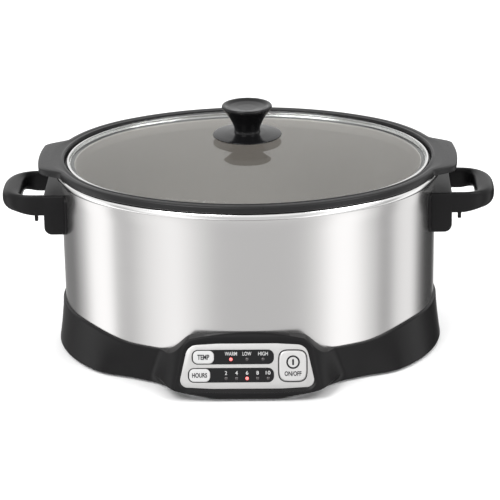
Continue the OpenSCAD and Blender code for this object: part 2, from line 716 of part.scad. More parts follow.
module power_board_screws() color([0.7, 0.7, 0.72])
    at_power_board() four_corners(power_hole.x, power_hole.y) {
    translate([0, 0, -5]) cylinder(h = 5, r = 3);
    cylinder(h = 1.6, r = screw_r);
    translate([0, 0, 1.6]) cylinder(h = 1.4, r1 = 2.8, r2 = 2.2);
}

gland_r = 7;
gland_z = base_lift + 17;
gland_out = half_depth(lip_r) + 2.4;      // outer face of the gland
gland_len = 20;
module gland_axis() translate([0, gland_out - 10, gland_z]) rotate([-90, 0, 0]) children();

module cord_gland() color([0.06, 0.06, 0.06])
    translate([0, gland_out, gland_z]) rotate([90, 0, 0]) difference() {
    union() {
        cylinder(h = 2, r1 = gland_r + 1.2, r2 = gland_r + 2.2);
        cylinder(h = gland_len, r = gland_r - fit);
    }
    translate([0, 0, -1]) cylinder(h = gland_len + 2, r = cord_r);
}

module gland_nut() color([0.1, 0.1, 0.1])
    translate([0, gland_out - 11, gland_z]) rotate([90, 0, 0]) difference() {
    cylinder(h = 4, r = gland_r + 3.4, $fn = 6);
    translate([0, 0, -1]) cylinder(h = 6, r = gland_r);
}

// Wires: two from the relay to the heater, two from the gland to the power board, and a ribbon to the console
module wiring_loom() color([0.8, 0.8, 0.75]) {
    heater_y = -half_depth(heater_r + heater_t) - 1.4;
    board_z = power_board_z + 3;
    for (s = [-1, 1]) {
        wire([[s * 14, heater_y, heater_z - 0.1], [s * 14, heater_y, shield_z - 6],
              [s * 10, power_board_pos.y - 17, board_z + 6],
              [s * 10, power_board_pos.y - 17, board_z - 1.35]], 1);
        wire([[s * 2, gland_out - gland_len - 0.5, gland_z], [s * 2, gland_out - gland_len - 30, board_z],
              [s * 6, power_board_pos.y + 40, board_z], [s * 6, power_board_pos.y + 19, board_z + 1],
              [s * 6, power_board_pos.y + 16, board_z + 0.6],
              [s * 6, power_board_pos.y + 16, board_z - 1.35]], 1.3);
    }
}

// --- Pot ---
module cooking_pot() color([0.17, 0.17, 0.18]) loft([
    ring(pot_r - pot_draft - 9, pot_z),
    ring(pot_r - pot_draft - 4, pot_z + 1.4),
    ring(pot_r - pot_draft - 1, pot_z + 5),
    ring(pot_r - pot_draft, pot_z + 11),
    ring(pot_r, rim_z - 5),
    ring(pot_r + 0.6, rim_z),
    ring(rim_r - 1.4, rim_z, 1),
    ring(rim_r, rim_z + 1.4, 1),
    ring(rim_r, rim_top - 1.6, 1),
    ring(rim_r - 1.4, rim_top - 0.2, 1),
    ring(rim_r - 5.2, rim_top),
    ring(ledge_out + 1.4, rim_top - 0.2),
    ring(ledge_out + 0.3, ledge_z + 0.8),
    ring(ledge_out - 0.5, ledge_z),
    ring(ledge_in + 1, ledge_z),
    ring(ledge_in, ledge_z - 1.4),
    ring(pot_r - pot_wall, rim_z - 6),
    ring(pot_r - pot_draft - pot_wall, pot_z + pot_wall + 9),
    ring(pot_r - pot_draft - pot_wall - 2.4, pot_z + pot_wall + 3.4),
    ring(pot_r - pot_draft - pot_wall - 9, pot_z + pot_wall)]);

// --- Lid ---
glass_r = lid_r - 1.4;
glass_z = lid_z + 1;
dome_shares = [1, 0.97, 0.9, 0.78, 0.62, 0.42, 0.2];
// Height of the glass's underside at share s of its half width; it is flat under the collar
function dome(s) = dome_z - glass_t - (dome_z - glass_t - glass_z) * pow(max(0, s - 0.2) / 0.8, 2.2);

module lid_glass() color([0.75, 0.85, 0.88, 0.35]) difference() {
    loft(concat(
        [for (i = [len(dome_shares) - 1 : -1 : 0])
            let (s = dome_shares[i]) shrunk_ring(glass_r - 1, s, dome(s))],
        [ring(glass_r, glass_z + 0.3), ring(glass_r, lid_z + 2.6), ring(glass_r - 2.2, lid_z + 2.6),
         ring(glass_r - 2.6, lid_z + 4.2)],
        [for (s = dome_shares) if (s < 1) shrunk_ring(glass_r, s, dome(s) + glass_t)]));
    cylinder(h = 400, r = knob_screw_r + 0.4);
}

module lid_rim_band() color([0.8, 0.8, 0.81]) loft([
    ring(glass_r - 2.2, lid_z),
    ring(lid_r - 0.6, lid_z),
    ring(lid_r, lid_z + 0.8),
    ring(lid_r, lid_z + band_t - 0.9),
    ring(lid_r - 0.8, lid_z + band_t),
    ring(glass_r - 0.9, lid_z + band_t),
    ring(glass_r - 0.9, lid_z + band_t - 0.5),
    ring(glass_r + 0.1, lid_z + band_t - 0.6),
    ring(glass_r + 0.1, lid_z + 0.7),
    ring(glass_r - 2.2, lid_z + 0.7)], looped = true);

knob_screw_r = 2.4;
module knob_collar() color([0.07, 0.07, 0.08]) translate([0, 0, dome_z]) difference() {
    rotate_extrude($fn = 96) polygon([[0, 0], [collar_r - 0.5, 0], [collar_r, 0.5], [collar_r - 0.4, 1],
        [collar_r - 4, 1.6], [16, collar_t], [0, collar_t]]);
    translate([0, 0, -2]) cylinder(h = 9, r = knob_screw_r + fit);
}

module lid_knob() color([0.06, 0.06, 0.07]) translate([0, 0, knob_z]) difference() {
    rotate_extrude($fn = 96) union() {
        polygon([[0, 0], [knob_r * 0.53, 0], [knob_r * 0.51, knob_h * 0.09], [knob_r * 0.53, knob_h * 0.2],
            [knob_r * 0.62, knob_h * 0.4], [knob_r * 0.78, knob_h * 0.64], [knob_r * 0.91, knob_h * 0.8],
            [knob_r * 0.98, knob_h * 0.88], [knob_r, knob_h * 0.93],
            [knob_r - 0.3, knob_h - 0.7], [knob_r - 1.1, knob_h], [knob_r - 2.6, knob_h - 0.2],
            [knob_r * 0.7, knob_h - 1.7], [knob_r * 0.4, knob_h - 2.5], [0, knob_h - 2.8]]);
    }
    translate([0, 0, -1]) cylinder(h = 15, r = knob_screw_r + fit);
}

module knob_screw() color([0.75, 0.75, 0.77]) translate([0, 0, dome_z - glass_t - washer_t - 1.6])
    pan_screw(knob_screw_r, glass_t + washer_t + 1.6 + collar_t + 12, 5.5);

washer_t = 1.5;
module knob_washer() color([0.5, 0.5, 0.52]) translate([0, 0, dome_z - glass_t - washer_t]) difference() {
    cylinder(h = washer_t, r = 9);
    translate([0, 0, -1]) cylinder(h = 4, r = knob_screw_r + fit);
}

in_place() base_skirt();
in_place() bottom_plate();
in_place() rubber_feet();
in_place() base_screws();
in_place() outer_shell();
in_place() heating_well();
in_place() heater_band();
in_place() heater_clamp();
in_place() clamp_bolt();
in_place() thermal_fuse();
in_place() well_sensor();
in_place() sensor_bracket();
in_place() heat_shield();
in_place() plate_spacers();
in_place() well_spacers();
in_place() well_bolts();
in_place() well_nuts();
in_place() left_handle();
in_place() right_handle();
in_place() handle_screws();
in_place() handle_backing_plates();
in_place() panel_fascia();
in_place() temp_window();
in_place() hours_window();
in_place() temp_lamps();
in_place() hours_lamps();
in_place() control_board();
in_place() tact_switches();
in_place() board_screws();
in_place() power_board();
in_place() power_relay();
in_place() power_board_screws();
in_place() wiring_loom();
in_place() cord_gland();
in_place() gland_nut();
in_place() temp_button();
in_place() hours_button();
in_place() power_button();
in_place() cooking_pot();
in_place() lid_glass();
in_place() lid_rim_band();
in_place() knob_collar();
in_place() lid_knob();
in_place() knob_screw();
in_place() knob_washer();
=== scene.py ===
import json
import logging
import math
from dataclasses import dataclass, field
from enum import Enum
from typing import Callable, Sequence, Union

import bmesh
import bpy
import numpy as np
from mathutils import Matrix, Vector


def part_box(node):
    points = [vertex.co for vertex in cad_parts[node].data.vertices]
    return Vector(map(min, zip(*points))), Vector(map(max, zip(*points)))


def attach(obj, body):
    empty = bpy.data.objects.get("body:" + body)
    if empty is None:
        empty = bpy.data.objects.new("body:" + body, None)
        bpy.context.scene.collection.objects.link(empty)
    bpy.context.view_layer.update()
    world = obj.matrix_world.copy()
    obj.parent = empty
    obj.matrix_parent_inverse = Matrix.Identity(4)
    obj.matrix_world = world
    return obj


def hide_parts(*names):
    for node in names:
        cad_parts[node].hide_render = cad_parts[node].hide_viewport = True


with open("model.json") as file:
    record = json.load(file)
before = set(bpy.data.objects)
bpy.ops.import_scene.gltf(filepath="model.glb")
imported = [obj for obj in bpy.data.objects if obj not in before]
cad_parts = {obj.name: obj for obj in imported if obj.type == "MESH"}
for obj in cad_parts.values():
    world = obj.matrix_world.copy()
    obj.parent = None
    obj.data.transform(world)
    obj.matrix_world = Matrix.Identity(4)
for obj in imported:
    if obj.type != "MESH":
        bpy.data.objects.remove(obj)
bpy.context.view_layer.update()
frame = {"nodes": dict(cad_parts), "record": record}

log = logging.getLogger("slow_cooker")
MM = 0.001
Line = list[tuple[float, float]]


# --- Shader maths ------------------------------------------------------------------------------


class Sock:
    """An output socket that takes part in shader maths with numbers and other sockets."""

    def __init__(self, graph: "Graph", socket: bpy.types.NodeSocket) -> None:
        """Wraps one output socket of a graph's node."""
        self.graph = graph
        self.socket = socket

    def _join(self, operation: str, first: "Value", second: "Value") -> "Sock":
        """Adds one Math node on two values."""
        return self.graph.node("ShaderNodeMath", {"operation": operation}, {0: first, 1: second})

    def __add__(self, other: "Value") -> "Sock":
        """Sum."""
        return self._join("ADD", self, other)

    def __sub__(self, other: "Value") -> "Sock":
        """Difference."""
        return self._join("SUBTRACT", self, other)

    def __rsub__(self, other: "Value") -> "Sock":
        """Reflected difference."""
        return self._join("SUBTRACT", other, self)

    def __mul__(self, other: "Value") -> "Sock":
        """Product."""
        return self._join("MULTIPLY", self, other)

    def __truediv__(self, other: "Value") -> "Sock":
        """Quotient."""
        return self._join("DIVIDE", self, other)

    __radd__ = __add__
    __rmul__ = __mul__


Value = Union[float, Sock, Sequence[float]]


class Graph:
    """The node tree of a material or a world, with one method that adds any node."""

    def __init__(self, owner: Union[bpy.types.Material, bpy.types.World]) -> None:
        """Empties the owner's node tree.

        Args:
            owner: The material or world to build.
        """
        owner.use_nodes = True
        self.owner = owner
        self.tree = owner.node_tree
        self.tree.nodes.clear()

    def node(self, kind: str, settings: dict | None = None, inputs: dict | None = None,
             out: Union[int, str] = 0) -> Sock:
        """Adds a node.

        Args:
            kind: The node's type name.
            settings: Attributes that are set first; "stops" fills a colour ramp.
            inputs: Socket name or index to a number, colour, vector or Sock.
            out: Which output to return.

        Returns:
            The chosen output.
        """
        made = self.tree.nodes.new(kind)
        for key, setting in (settings or {}).items():
            if key == "stops":
                self._fill_ramp(made.color_ramp, setting)
            else:
                setattr(made, key, setting)
        for key, value in (inputs or {}).items():
            self.feed(made.inputs[key], value)
        return Sock(self, made.outputs[out])

    def feed(self, socket: bpy.types.NodeSocket, value: Value) -> None:
        """Links a Sock to a socket, or sets the socket to a plain value."""
        if isinstance(value, Sock):
            self.tree.links.new(value.socket, socket)
        elif isinstance(value, (tuple, list)) and len(value) == 3 and len(socket.default_value) == 4:
            socket.default_value = (*value, 1.0)
        else:
            socket.default_value = value

    @staticmethod
    def _fill_ramp(ramp: bpy.types.ColorRamp, stops: Sequence[tuple[float, Sequence[float]]]) -> None:
        """Puts (place, colour) stops on a ramp."""
        while len(ramp.elements) < len(stops):
            ramp.elements.new(0.5)
        for element, (place, colour) in zip(ramp.elements, stops):
            element.position = place
            element.color = (*colour, 1.0)

    def place(self, scale: Sequence[float]) -> Sock:
        """Object-space coordinates, stretched by a scale for each axis."""
        spot = self.node("ShaderNodeTexCoord", out="Object")
        return self.node("ShaderNodeVectorMath", {"operation": "MULTIPLY"}, {0: spot, 1: tuple(scale)})

    def noise(self, scale: Sequence[float], detail: float = 3.0, rough: float = 0.5) -> Sock:
        """Smooth noise from 0 to 1 whose grain is set for each axis, in cycles to the metre."""
        return self.node("ShaderNodeTexNoise", {"noise_dimensions": "3D"},
                         {"Vector": self.place(scale), "Scale": 1.0, "Detail": detail, "Roughness": rough})

    def ramp(self, value: Sock, stops: Sequence[tuple[float, Sequence[float]]]) -> Sock:
        """Colour ramp on a value."""
        return self.node("ShaderNodeValToRGB", {"stops": stops}, {0: value})

    def blend(self, share: Value, first: Value, second: Value) -> Sock:
        """Colour mix from first to second by share."""
        return self.node("ShaderNodeMix", {"data_type": "RGBA"}, {0: share, 6: first, 7: second}, out=2)

    def bump(self, height: Sock, depth_mm: float, strength: float = 1.0) -> Sock:
        """Normal of a surface with a small height pattern."""
        return self.node("ShaderNodeBump", None,
                         {"Height": height, "Distance": depth_mm * MM, "Strength": strength})

    def principled(self, **sockets: Value) -> Sock:
        """Principled shader; underscores in a socket's name stand for spaces."""
        return self.node("ShaderNodeBsdfPrincipled", None,
                         {key.replace("_", " "): value for key, value in sockets.items()})

    def finish(self, shader: Sock) -> None:
        """Links the shader to the owner's output."""
        owner_kind = "World" if isinstance(self.owner, bpy.types.World) else "Material"
        self.node_input(f"ShaderNodeOutput{owner_kind}", "Surface", shader)

    def node_input(self, kind: str, name: str, value: Value) -> None:
        """Adds a node that has only inputs, and feeds one of them."""
        self.feed(self.tree.nodes.new(kind).inputs[name], value)


# --- Finishes ----------------------------------------------------------------------------------


@dataclass(frozen=True)
class Finish:
    """What every finish has: a name, a colour and a roughness."""

    name: str
    colour: tuple[float, float, float]
    roughness: float = 0.4

    def material(self) -> bpy.types.Material:
        """The finish's material, made on first use."""
        title = self.name + "_finish"
        known = bpy.data.materials.get(title)
        if known is not None:
            return known
        made = bpy.data.materials.new(title)
        self.build(Graph(made))
        return made

    def build(self, graph: Graph) -> None:
        """Builds the node tree."""
        raise NotImplementedError

    def tinted(self, factor: float) -> tuple[float, float, float]:
        """The colour made lighter or darker."""
        return tuple(min(1.0, c * factor) for c in self.colour)


@dataclass(frozen=True)
class Moulded(Finish):
    """Moulded plastic or rubber: fine spark-eroded grain, faint mottling and uneven sheen."""

    grain: float = 1800.0
    depth_mm: float = 0.012
    mottle: float = 0.12
    coat: float = 0.0
    gloss: float = 0.5

    def build(self, graph: Graph) -> None:
        """Builds the node tree."""
        grain = graph.noise((self.grain,) * 3, 2.0)
        cloud = graph.noise((22.0, 22.0, 30.0), 4.0)
        colour = graph.blend(cloud, self.tinted(1 - self.mottle), self.tinted(1 + self.mottle))
        rough = cloud * 0.08 + grain * 0.05 + (self.roughness - 0.065)
        graph.finish(graph.principled(Base_Color=colour, Roughness=rough, Coat_Weight=self.coat,
                                      Coat_Roughness=0.12, Specular_IOR_Level=self.gloss,
                                      Normal=graph.bump(grain, self.depth_mm)))


class Stroke(Enum):
    """Which way a metal's brush lines run, as noise cycles to the metre along X, Y and Z."""

    LEVEL = (6.0, 6.0, 2600.0)
    NONE = (60.0, 60.0, 60.0)


@dataclass(frozen=True)
class Metal(Finish):
    """Bare metal with brush lines, handling smudges and slightly uneven polish."""

    stroke: Stroke = Stroke.NONE
    depth_mm: float = 0.002
    streak: float = 0.05

    def build(self, graph: Graph) -> None:
        """Builds the node tree."""
        lines = graph.noise(self.stroke.value, 4.0, 0.62)
        smudge = graph.noise((14.0, 14.0, 9.0), 3.0)
        colour = graph.blend(lines, self.tinted(1 - self.streak), self.tinted(1 + self.streak))
        rough = lines * 0.07 + smudge * 0.06 + (self.roughness - 0.065)
        graph.finish(graph.principled(Base_Color=colour, Metallic=1.0, Roughness=rough,
                                      Normal=graph.bump(lines, self.depth_mm)))


@dataclass(frozen=True)
class NonStick(Finish):
    """Non-stick coating: dense satin film with fine pale flecks and a fine orange-peel surface."""

    fleck: float = 0.5
    metallic: float = 0.0
    gloss: float = 0.22

    def build(self, graph: Graph) -> None:
        """Builds the node tree."""
        peel = graph.noise((420.0,) * 3, 3.0)
        cells = graph.node("ShaderNodeTexVoronoi", None,
                           {"Vector": graph.place((900.0,) * 3), "Scale": 1.0}, out="Distance")
        flecks = (0.14 - cells) * 7.0
        spotted = graph.node("ShaderNodeClamp", None, {"Value": flecks * self.fleck})
        colour = graph.blend(spotted, self.colour, self.tinted(2.2))
        graph.finish(graph.principled(Base_Color=colour, Roughness=peel * 0.12 + (self.roughness - 0.06),
                                      Metallic=self.metallic, Specular_IOR_Level=self.gloss,
                                      Normal=graph.bump(peel, 0.02)))


@dataclass(frozen=True)
class Glass(Finish):
    """Clear tempered glass."""

    def build(self, graph: Graph) -> None:
        """Builds the node tree."""
        wipe = graph.noise((18.0, 18.0, 18.0), 3.0)
        facing = graph.node("ShaderNodeFresnel", None, {"IOR": 1.45})
        clear = graph.node("ShaderNodeBsdfTransparent", None, {"Color": self.colour})
        shine = graph.principled(Base_Color=self.colour, Metallic=1.0, Roughness=wipe * 0.02 + self.roughness)
        graph.finish(graph.node("ShaderNodeMixShader", None, {0: facing * 0.18, 1: clear, 2: shine}))


@dataclass(frozen=True)
class Satin(Finish):
    """Painted or foiled face with a very fine metallic sparkle."""

    metallic: float = 0.6

    def build(self, graph: Graph) -> None:
        """Builds the node tree."""
        sparkle = graph.noise((5200.0,) * 3, 1.0)
        cloud = graph.noise((30.0,) * 3, 2.0)
        colour = graph.blend(sparkle, self.tinted(0.86), self.tinted(1.12))
        graph.finish(graph.principled(Base_Color=colour, Metallic=self.metallic,
                                      Roughness=sparkle * 0.1 + cloud * 0.05 + (self.roughness - 0.07),
                                      Normal=graph.bump(sparkle, 0.004)))


@dataclass(frozen=True)
class Lamp(Finish):
    """Clear moulded lamp, lit or unlit, brightest in the middle of its dome."""

    glow: float = 0.0

    def build(self, graph: Graph) -> None:
        """Builds the node tree."""
        facing = graph.node("ShaderNodeLayerWeight", None, {"Blend": 0.35}, out="Facing")
        body = graph.blend(facing, self.tinted(1.25), self.tinted(0.5))
        graph.finish(graph.principled(Base_Color=body, Roughness=0.12, Coat_Weight=0.8,
                                      Emission_Color=graph.blend(facing, (1.0, 0.32, 0.3), self.colour),
                                      Emission_Strength=self.glow))


BLACK = Moulded("black_moulding", (0.0085, 0.0082, 0.0086), 0.3, gloss=0.13)
KNOB = Moulded("knob_gloss", (0.005, 0.005, 0.0055), 0.14, grain=300.0, depth_mm=0.002, gloss=0.26)
RUBBER = Moulded("foot_rubber", (0.02, 0.02, 0.02), 0.72)
STEEL = Metal("brushed_housing", (0.67, 0.66, 0.655), 0.23, stroke=Stroke.LEVEL, depth_mm=0.0008, streak=0.02)
BRIGHT = Metal("polished_well", (0.82, 0.815, 0.81), 0.13, depth_mm=0.0008, streak=0.02)
POT = NonStick("pot_coating", (0.013, 0.0128, 0.0132), 0.3)
# Same dark coating as POT; its pale warm grey colour is a painted sheen and reflection, not the coating's own
# colour.
POT_INSIDE_PAINTED_SHEEN = NonStick("pot_inside", (0.34, 0.315, 0.29), 0.34, fleck=0.12, metallic=0.5)
GLASS = Glass("lid_glass", (0.98, 0.985, 0.982), 0.03)
FASCIA = Satin("silver_fascia", (0.5, 0.495, 0.49), 0.36)
KEYS = Satin("key_silver", (0.5, 0.5, 0.5), 0.42, metallic=0.05)
POWER_KEY = Satin("key_satin", (0.56, 0.555, 0.55), 0.36)
WINDOW = Moulded("window_black", (0.007, 0.007, 0.0078), 0.2, grain=500.0, depth_mm=0.001, gloss=0.22)
LAMP_LIT = Lamp("lamp_lit", (0.75, 0.03, 0.035), glow=1.1)
LAMP_DARK = Lamp("lamp_red", (0.022, 0.017, 0.018))
INK_LIGHT = Moulded("print_light", (0.5, 0.5, 0.5), 0.5)
INK_DARK = Moulded("print_dark", (0.012, 0.012, 0.014), 0.5, gloss=0.2)

SLOT_FINISHES: dict[str, Finish] = {
    "black_moulding": BLACK,
    "knob_gloss": KNOB,
    "foot_rubber": RUBBER,
    "gland_black": RUBBER,
    "brushed_housing": STEEL,
    "polished_well": BRIGHT,
    "pot_coating": POT,
    "lid_glass": GLASS,
    "silver_fascia": FASCIA,
    "key_silver": KEYS,
    "window_black": WINDOW,
    "lamp_red": LAMP_DARK,
    "zinc_sheet": Metal("zinc_sheet", (0.55, 0.56, 0.57), 0.42, streak=0.12),
    "screw_steel": Metal("screw_steel", (0.6, 0.6, 0.6), 0.25),
    "sensor_alloy": Metal("sensor_alloy", (0.68, 0.68, 0.67), 0.35),
    "mica": Moulded("mica", (0.42, 0.34, 0.24), 0.5, grain=240.0, mottle=0.3),
    "ceramic": Moulded("ceramic", (0.7, 0.68, 0.6), 0.45),
    "circuit_green": Moulded("circuit_green", (0.02, 0.16, 0.06), 0.35, coat=0.4),
    "circuit_brown": Moulded("circuit_brown", (0.36, 0.24, 0.1), 0.5),
    "relay_blue": Moulded("relay_blue", (0.04, 0.12, 0.4), 0.35),
    "wire_insulation": Moulded("wire_insulation", (0.62, 0.62, 0.56), 0.6),
    "washer_silicone": Moulded("washer_silicone", (0.3, 0.3, 0.31), 0.55),
}


# --- Mesh work ---------------------------------------------------------------------------------


def node_box(node: str) -> tuple[np.ndarray, np.ndarray]:
    """Lowest and highest corner of a CAD node, in millimetres."""
    low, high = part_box(node)
    return np.array(low) / MM, np.array(high) / MM


def ease(share: np.ndarray) -> np.ndarray:
    """Smooth step from 0 to 1."""
    held = np.clip(share, 0.0, 1.0)
    return held * held * (3 - 2 * held)


def mix(first: float, second: float, share: float) -> float:
    """Straight blend of two values."""
    return first + (second - first) * share


def rounded(corners: Sequence[tuple[float, float, float]], looped: bool = False, steps: int = 5) -> Line:
    """Line with true arcs at its corners.

    Args:
        corners: Points as (across, up, corner radius).
        looped: Whether the last corner joins the first.
        steps: Segments in each arc.

    Returns:
        The line's points.
    """
    count = len(corners)
    line: Line = []
    for i, (x, y, radius) in enumerate(corners):
        here = np.array((x, y), float)
        if radius <= 0 or (not looped and i in (0, count - 1)):
            line.append((x, y))
            continue
        back = np.array(corners[i - 1][:2]) - here
        on = np.array(corners[(i + 1) % count][:2]) - here
        back_len, on_len = np.linalg.norm(back), np.linalg.norm(on)
        back, on = back / back_len, on / on_len
        half = 0.5 * math.acos(float(np.clip(back @ on, -1, 1)))
        reach = min(radius / math.tan(half), 0.49 * back_len, 0.49 * on_len)
        arc_r = reach * math.tan(half)
        middle = here + (back + on) / np.linalg.norm(back + on) * arc_r / math.sin(half)
        start, end = here + back * reach - middle, here + on * reach - middle
        first = math.atan2(start[1], start[0])
        turn = math.atan2(end[1], end[0]) - first
        turn = (turn + math.pi) % (2 * math.pi) - math.pi
        for k in range(steps + 1):
            angle = first + turn * k / steps
            line.append((middle[0] + arc_r * math.cos(angle), middle[1] + arc_r * math.sin(angle)))
    return line


def smooth_line(points: Line, steps: int = 6) -> Line:
    """Catmull-Rom curve through points."""
    pts = np.array(points, float)
    padded = np.vstack((2 * pts[0] - pts[1], pts, 2 * pts[-1] - pts[-2]))
    line: Line = []
    for a, b, c, d in zip(padded, padded[1:], padded[2:], padded[3:]):
        for k in range(steps):
            t = k / steps
            spot = 0.5 * (2 * b + (c - a) * t + (2 * a - 5 * b + 4 * c - d) * t * t
                          + (3 * b - a - 3 * c + d) * t ** 3)
            line.append((float(spot[0]), float(spot[1])))
    line.append(points[-1])
    return line


@dataclass(frozen=True)
class Frame3:
    """A flat working plane: its origin and its across, up and outward directions, in millimetres."""

    origin: tuple[float, float, float] = (0.0, 0.0, 0.0)
    tilt: float = 0.0

    def matrix(self) -> Matrix:
        """Placement of the plane: across is X, up leans back by tilt, outward is the third axis."""
        turn = Matrix.Rotation(math.radians(90 - self.tilt), 4, "X")
        return Matrix.Translation(Vector(self.origin)) @ turn


class Solid:
    """A mesh under construction, in millimetres."""

    def __init__(self) -> None:
        """Starts empty."""
        self.points: list[np.ndarray] = []
        self.faces: list[tuple[int, ...]] = []
        self.marks: list[int] = []
        self.count = 0

    def skin(self, rings: Sequence[np.ndarray], looped: bool = False, capped: bool = True,
             mark: Callable[[int], int] = lambda i: 0) -> "Solid":
        """Adds a skin over a stack of rings.

        Args:
            rings: Arrays of the same number of points.
            looped: Whether the last ring joins the first.
            capped: Whether open ends are closed.
            mark: Material number of the band that starts at a ring.

        Returns:
            The solid.
        """
        n, m, base = len(rings[0]), len(rings), self.count
        for i in range(m if looped else m - 1):
            up = (i + 1) % m
            for j in range(n):
                k = (j + 1) % n
                self.faces.append((base + i * n + j, base + i * n + k, base + up * n + k, base + up * n + j))
                self.marks.append(mark(i))
        if capped and not looped:
            self.faces.append(tuple(base + j for j in reversed(range(n))))
            self.faces.append(tuple(base + (m - 1) * n + j for j in range(n)))
            self.marks += [mark(0), mark(m - 2)]
        self.points += [np.asarray(ring, float) for ring in rings]
        self.count += n * m
        return self

    def object(self, name: str, finishes: Sequence[Finish], placed: Matrix = Matrix(),
               sharp: float = 32.0) -> bpy.types.Object:
        """Makes the Blender object, in metres.

        Args:
            name: The object's name.
            finishes: Finishes in the order of the marks.
            placed: Placement of the points, in millimetres.
            sharp: Edges that turn by more degrees than this stay sharp.

        Returns:
            The new object, with its place in its mesh.
        """
        mesh = bpy.data.meshes.new(name)
        mesh.from_pydata(np.vstack(self.points).tolist(), [], self.faces)
        mesh.transform(Matrix.Scale(MM, 4) @ placed)
        mesh.polygons.foreach_set("material_index", self.marks)
        for finish in finishes:
            mesh.materials.append(finish.material())
        obj = bpy.data.objects.new(name, mesh)
        bpy.context.scene.collection.objects.link(obj)
        tidy_mesh(obj, sharp)
        return obj


def tidy_mesh(obj: bpy.types.Object, sharp: float = 32.0) -> None:
    """Turns all faces outwards and shades them smooth up to an edge angle."""
    work = bmesh.new()
    work.from_mesh(obj.data)
    bmesh.ops.remove_doubles(work, verts=work.verts, dist=1e-6)
    bmesh.ops.dissolve_degenerate(work, edges=work.edges, dist=1e-7)
    bmesh.ops.recalc_face_normals(work, faces=work.faces)
    work.to_mesh(obj.data)
    work.free()
    obj.data.polygons.foreach_set("use_smooth", [True] * len(obj.data.polygons))
    obj.data.set_sharp_from_angle(angle=math.radians(sharp))


def apply_modifiers(obj: bpy.types.Object) -> None:
    """Writes the object's modifiers into its mesh."""
    evaluated = obj.evaluated_get(bpy.context.evaluated_depsgraph_get())
    mesh = bpy.data.meshes.new_from_object(evaluated)
    obj.modifiers.clear()
    obj.data = mesh


def cut(obj: bpy.types.Object, *tools: bpy.types.Object) -> None:
    """Cuts tool objects out of an object, and removes the tools."""
    combine(obj, "DIFFERENCE", *tools)


def combine(obj: bpy.types.Object, operation: str, *tools: bpy.types.Object) -> None:
    """Runs exact booleans with tool objects, and removes the tools."""
    for tool in tools:
        step = obj.modifiers.new("step", "BOOLEAN")
        step.operation = operation
        step.solver = "EXACT"
        step.object = tool
    bpy.context.view_layer.update()
    apply_modifiers(obj)
    for tool in tools:
        bpy.data.objects.remove(tool)


def settle(obj: bpy.types.Object, body: str, slot: str, *nodes: str) -> bpy.types.Object:
    """Rides a finished piece on its body and hides the CAD nodes that it stands for."""
    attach(obj, body)
    if nodes:
        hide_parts(*nodes)
    log.info("%s rides on %s", obj.name, body)
    return obj


def lathe(profile: Line, sides: int = 128) -> list[np.ndarray]:
    """Rings of a turned piece about the Z axis from its (radius, height) profile."""
    turn = np.linspace(0, 2 * math.pi, sides, endpoint=False)
    return [np.column_stack((r * np.cos(turn), r * np.sin(turn), np.full(sides, z))) for r, z in profile]


# --- The oval that every shell follows -----------------------------------------------------------


@dataclass(frozen=True)
class OvalPlan:
    """An oval of four arcs: two end arcs and two side arcs with shared tangents."""

    middle_y: float
    end_centre: float = 45.6
    side_centre: float = 69.0

    @property
    def arc_gap(self) -> float:
        """Difference between the side arcs' and the end arcs' radii."""
        return math.hypot(self.end_centre, self.side_centre)

    def angles(self, steps: int) -> np.ndarray:
        """Normal directions of a ring with steps points on each of its eight half arcs, in radians."""
        join = math.atan2(self.side_centre, self.end_centre)
        turn, half = math.pi, math.pi / 2
        marks = [0, join, half, turn - join, turn, turn + join, 3 * half, 2 * turn - join, 2 * turn]
        return np.interp(np.arange(8 * steps) / steps, np.arange(9), marks)

    def points(self, angles: np.ndarray, offset: Union[float, np.ndarray]) -> np.ndarray:
        """Plan points where the oval of that offset has those normal directions, about the middle."""
        join = math.atan2(self.side_centre, self.end_centre)
        side = np.abs(np.sin(angles)) > math.sin(join)
        r = np.where(side, offset + self.arc_gap, offset)
        x = r * np.cos(angles) + np.where(side, 0.0, np.sign(np.cos(angles)) * self.end_centre)
        y = r * np.sin(angles) - np.where(side, np.sign(np.sin(angles)) * self.side_centre, 0.0)
        return np.column_stack((x, y))

    def ring(self, offset: Union[float, np.ndarray], z: float, steps: int = 40) -> np.ndarray:
        """Level ring of the oval, in the row frame."""
        flat = self.points(self.angles(steps), offset)
        return self.lift(flat, z)

    def lift(self, flat: np.ndarray, z: Union[float, np.ndarray]) -> np.ndarray:
        """Plan points about the middle, as points of the row frame at height z."""
        return np.column_stack((flat[:, 0], flat[:, 1] + self.middle_y, np.broadcast_to(z, len(flat))))

    def front(self, offset: float) -> float:
        """Distance from the middle to the front of the oval of that offset."""
        return offset + self.arc_gap - self.side_centre


# --- Housing -------------------------------------------------------------------------------------


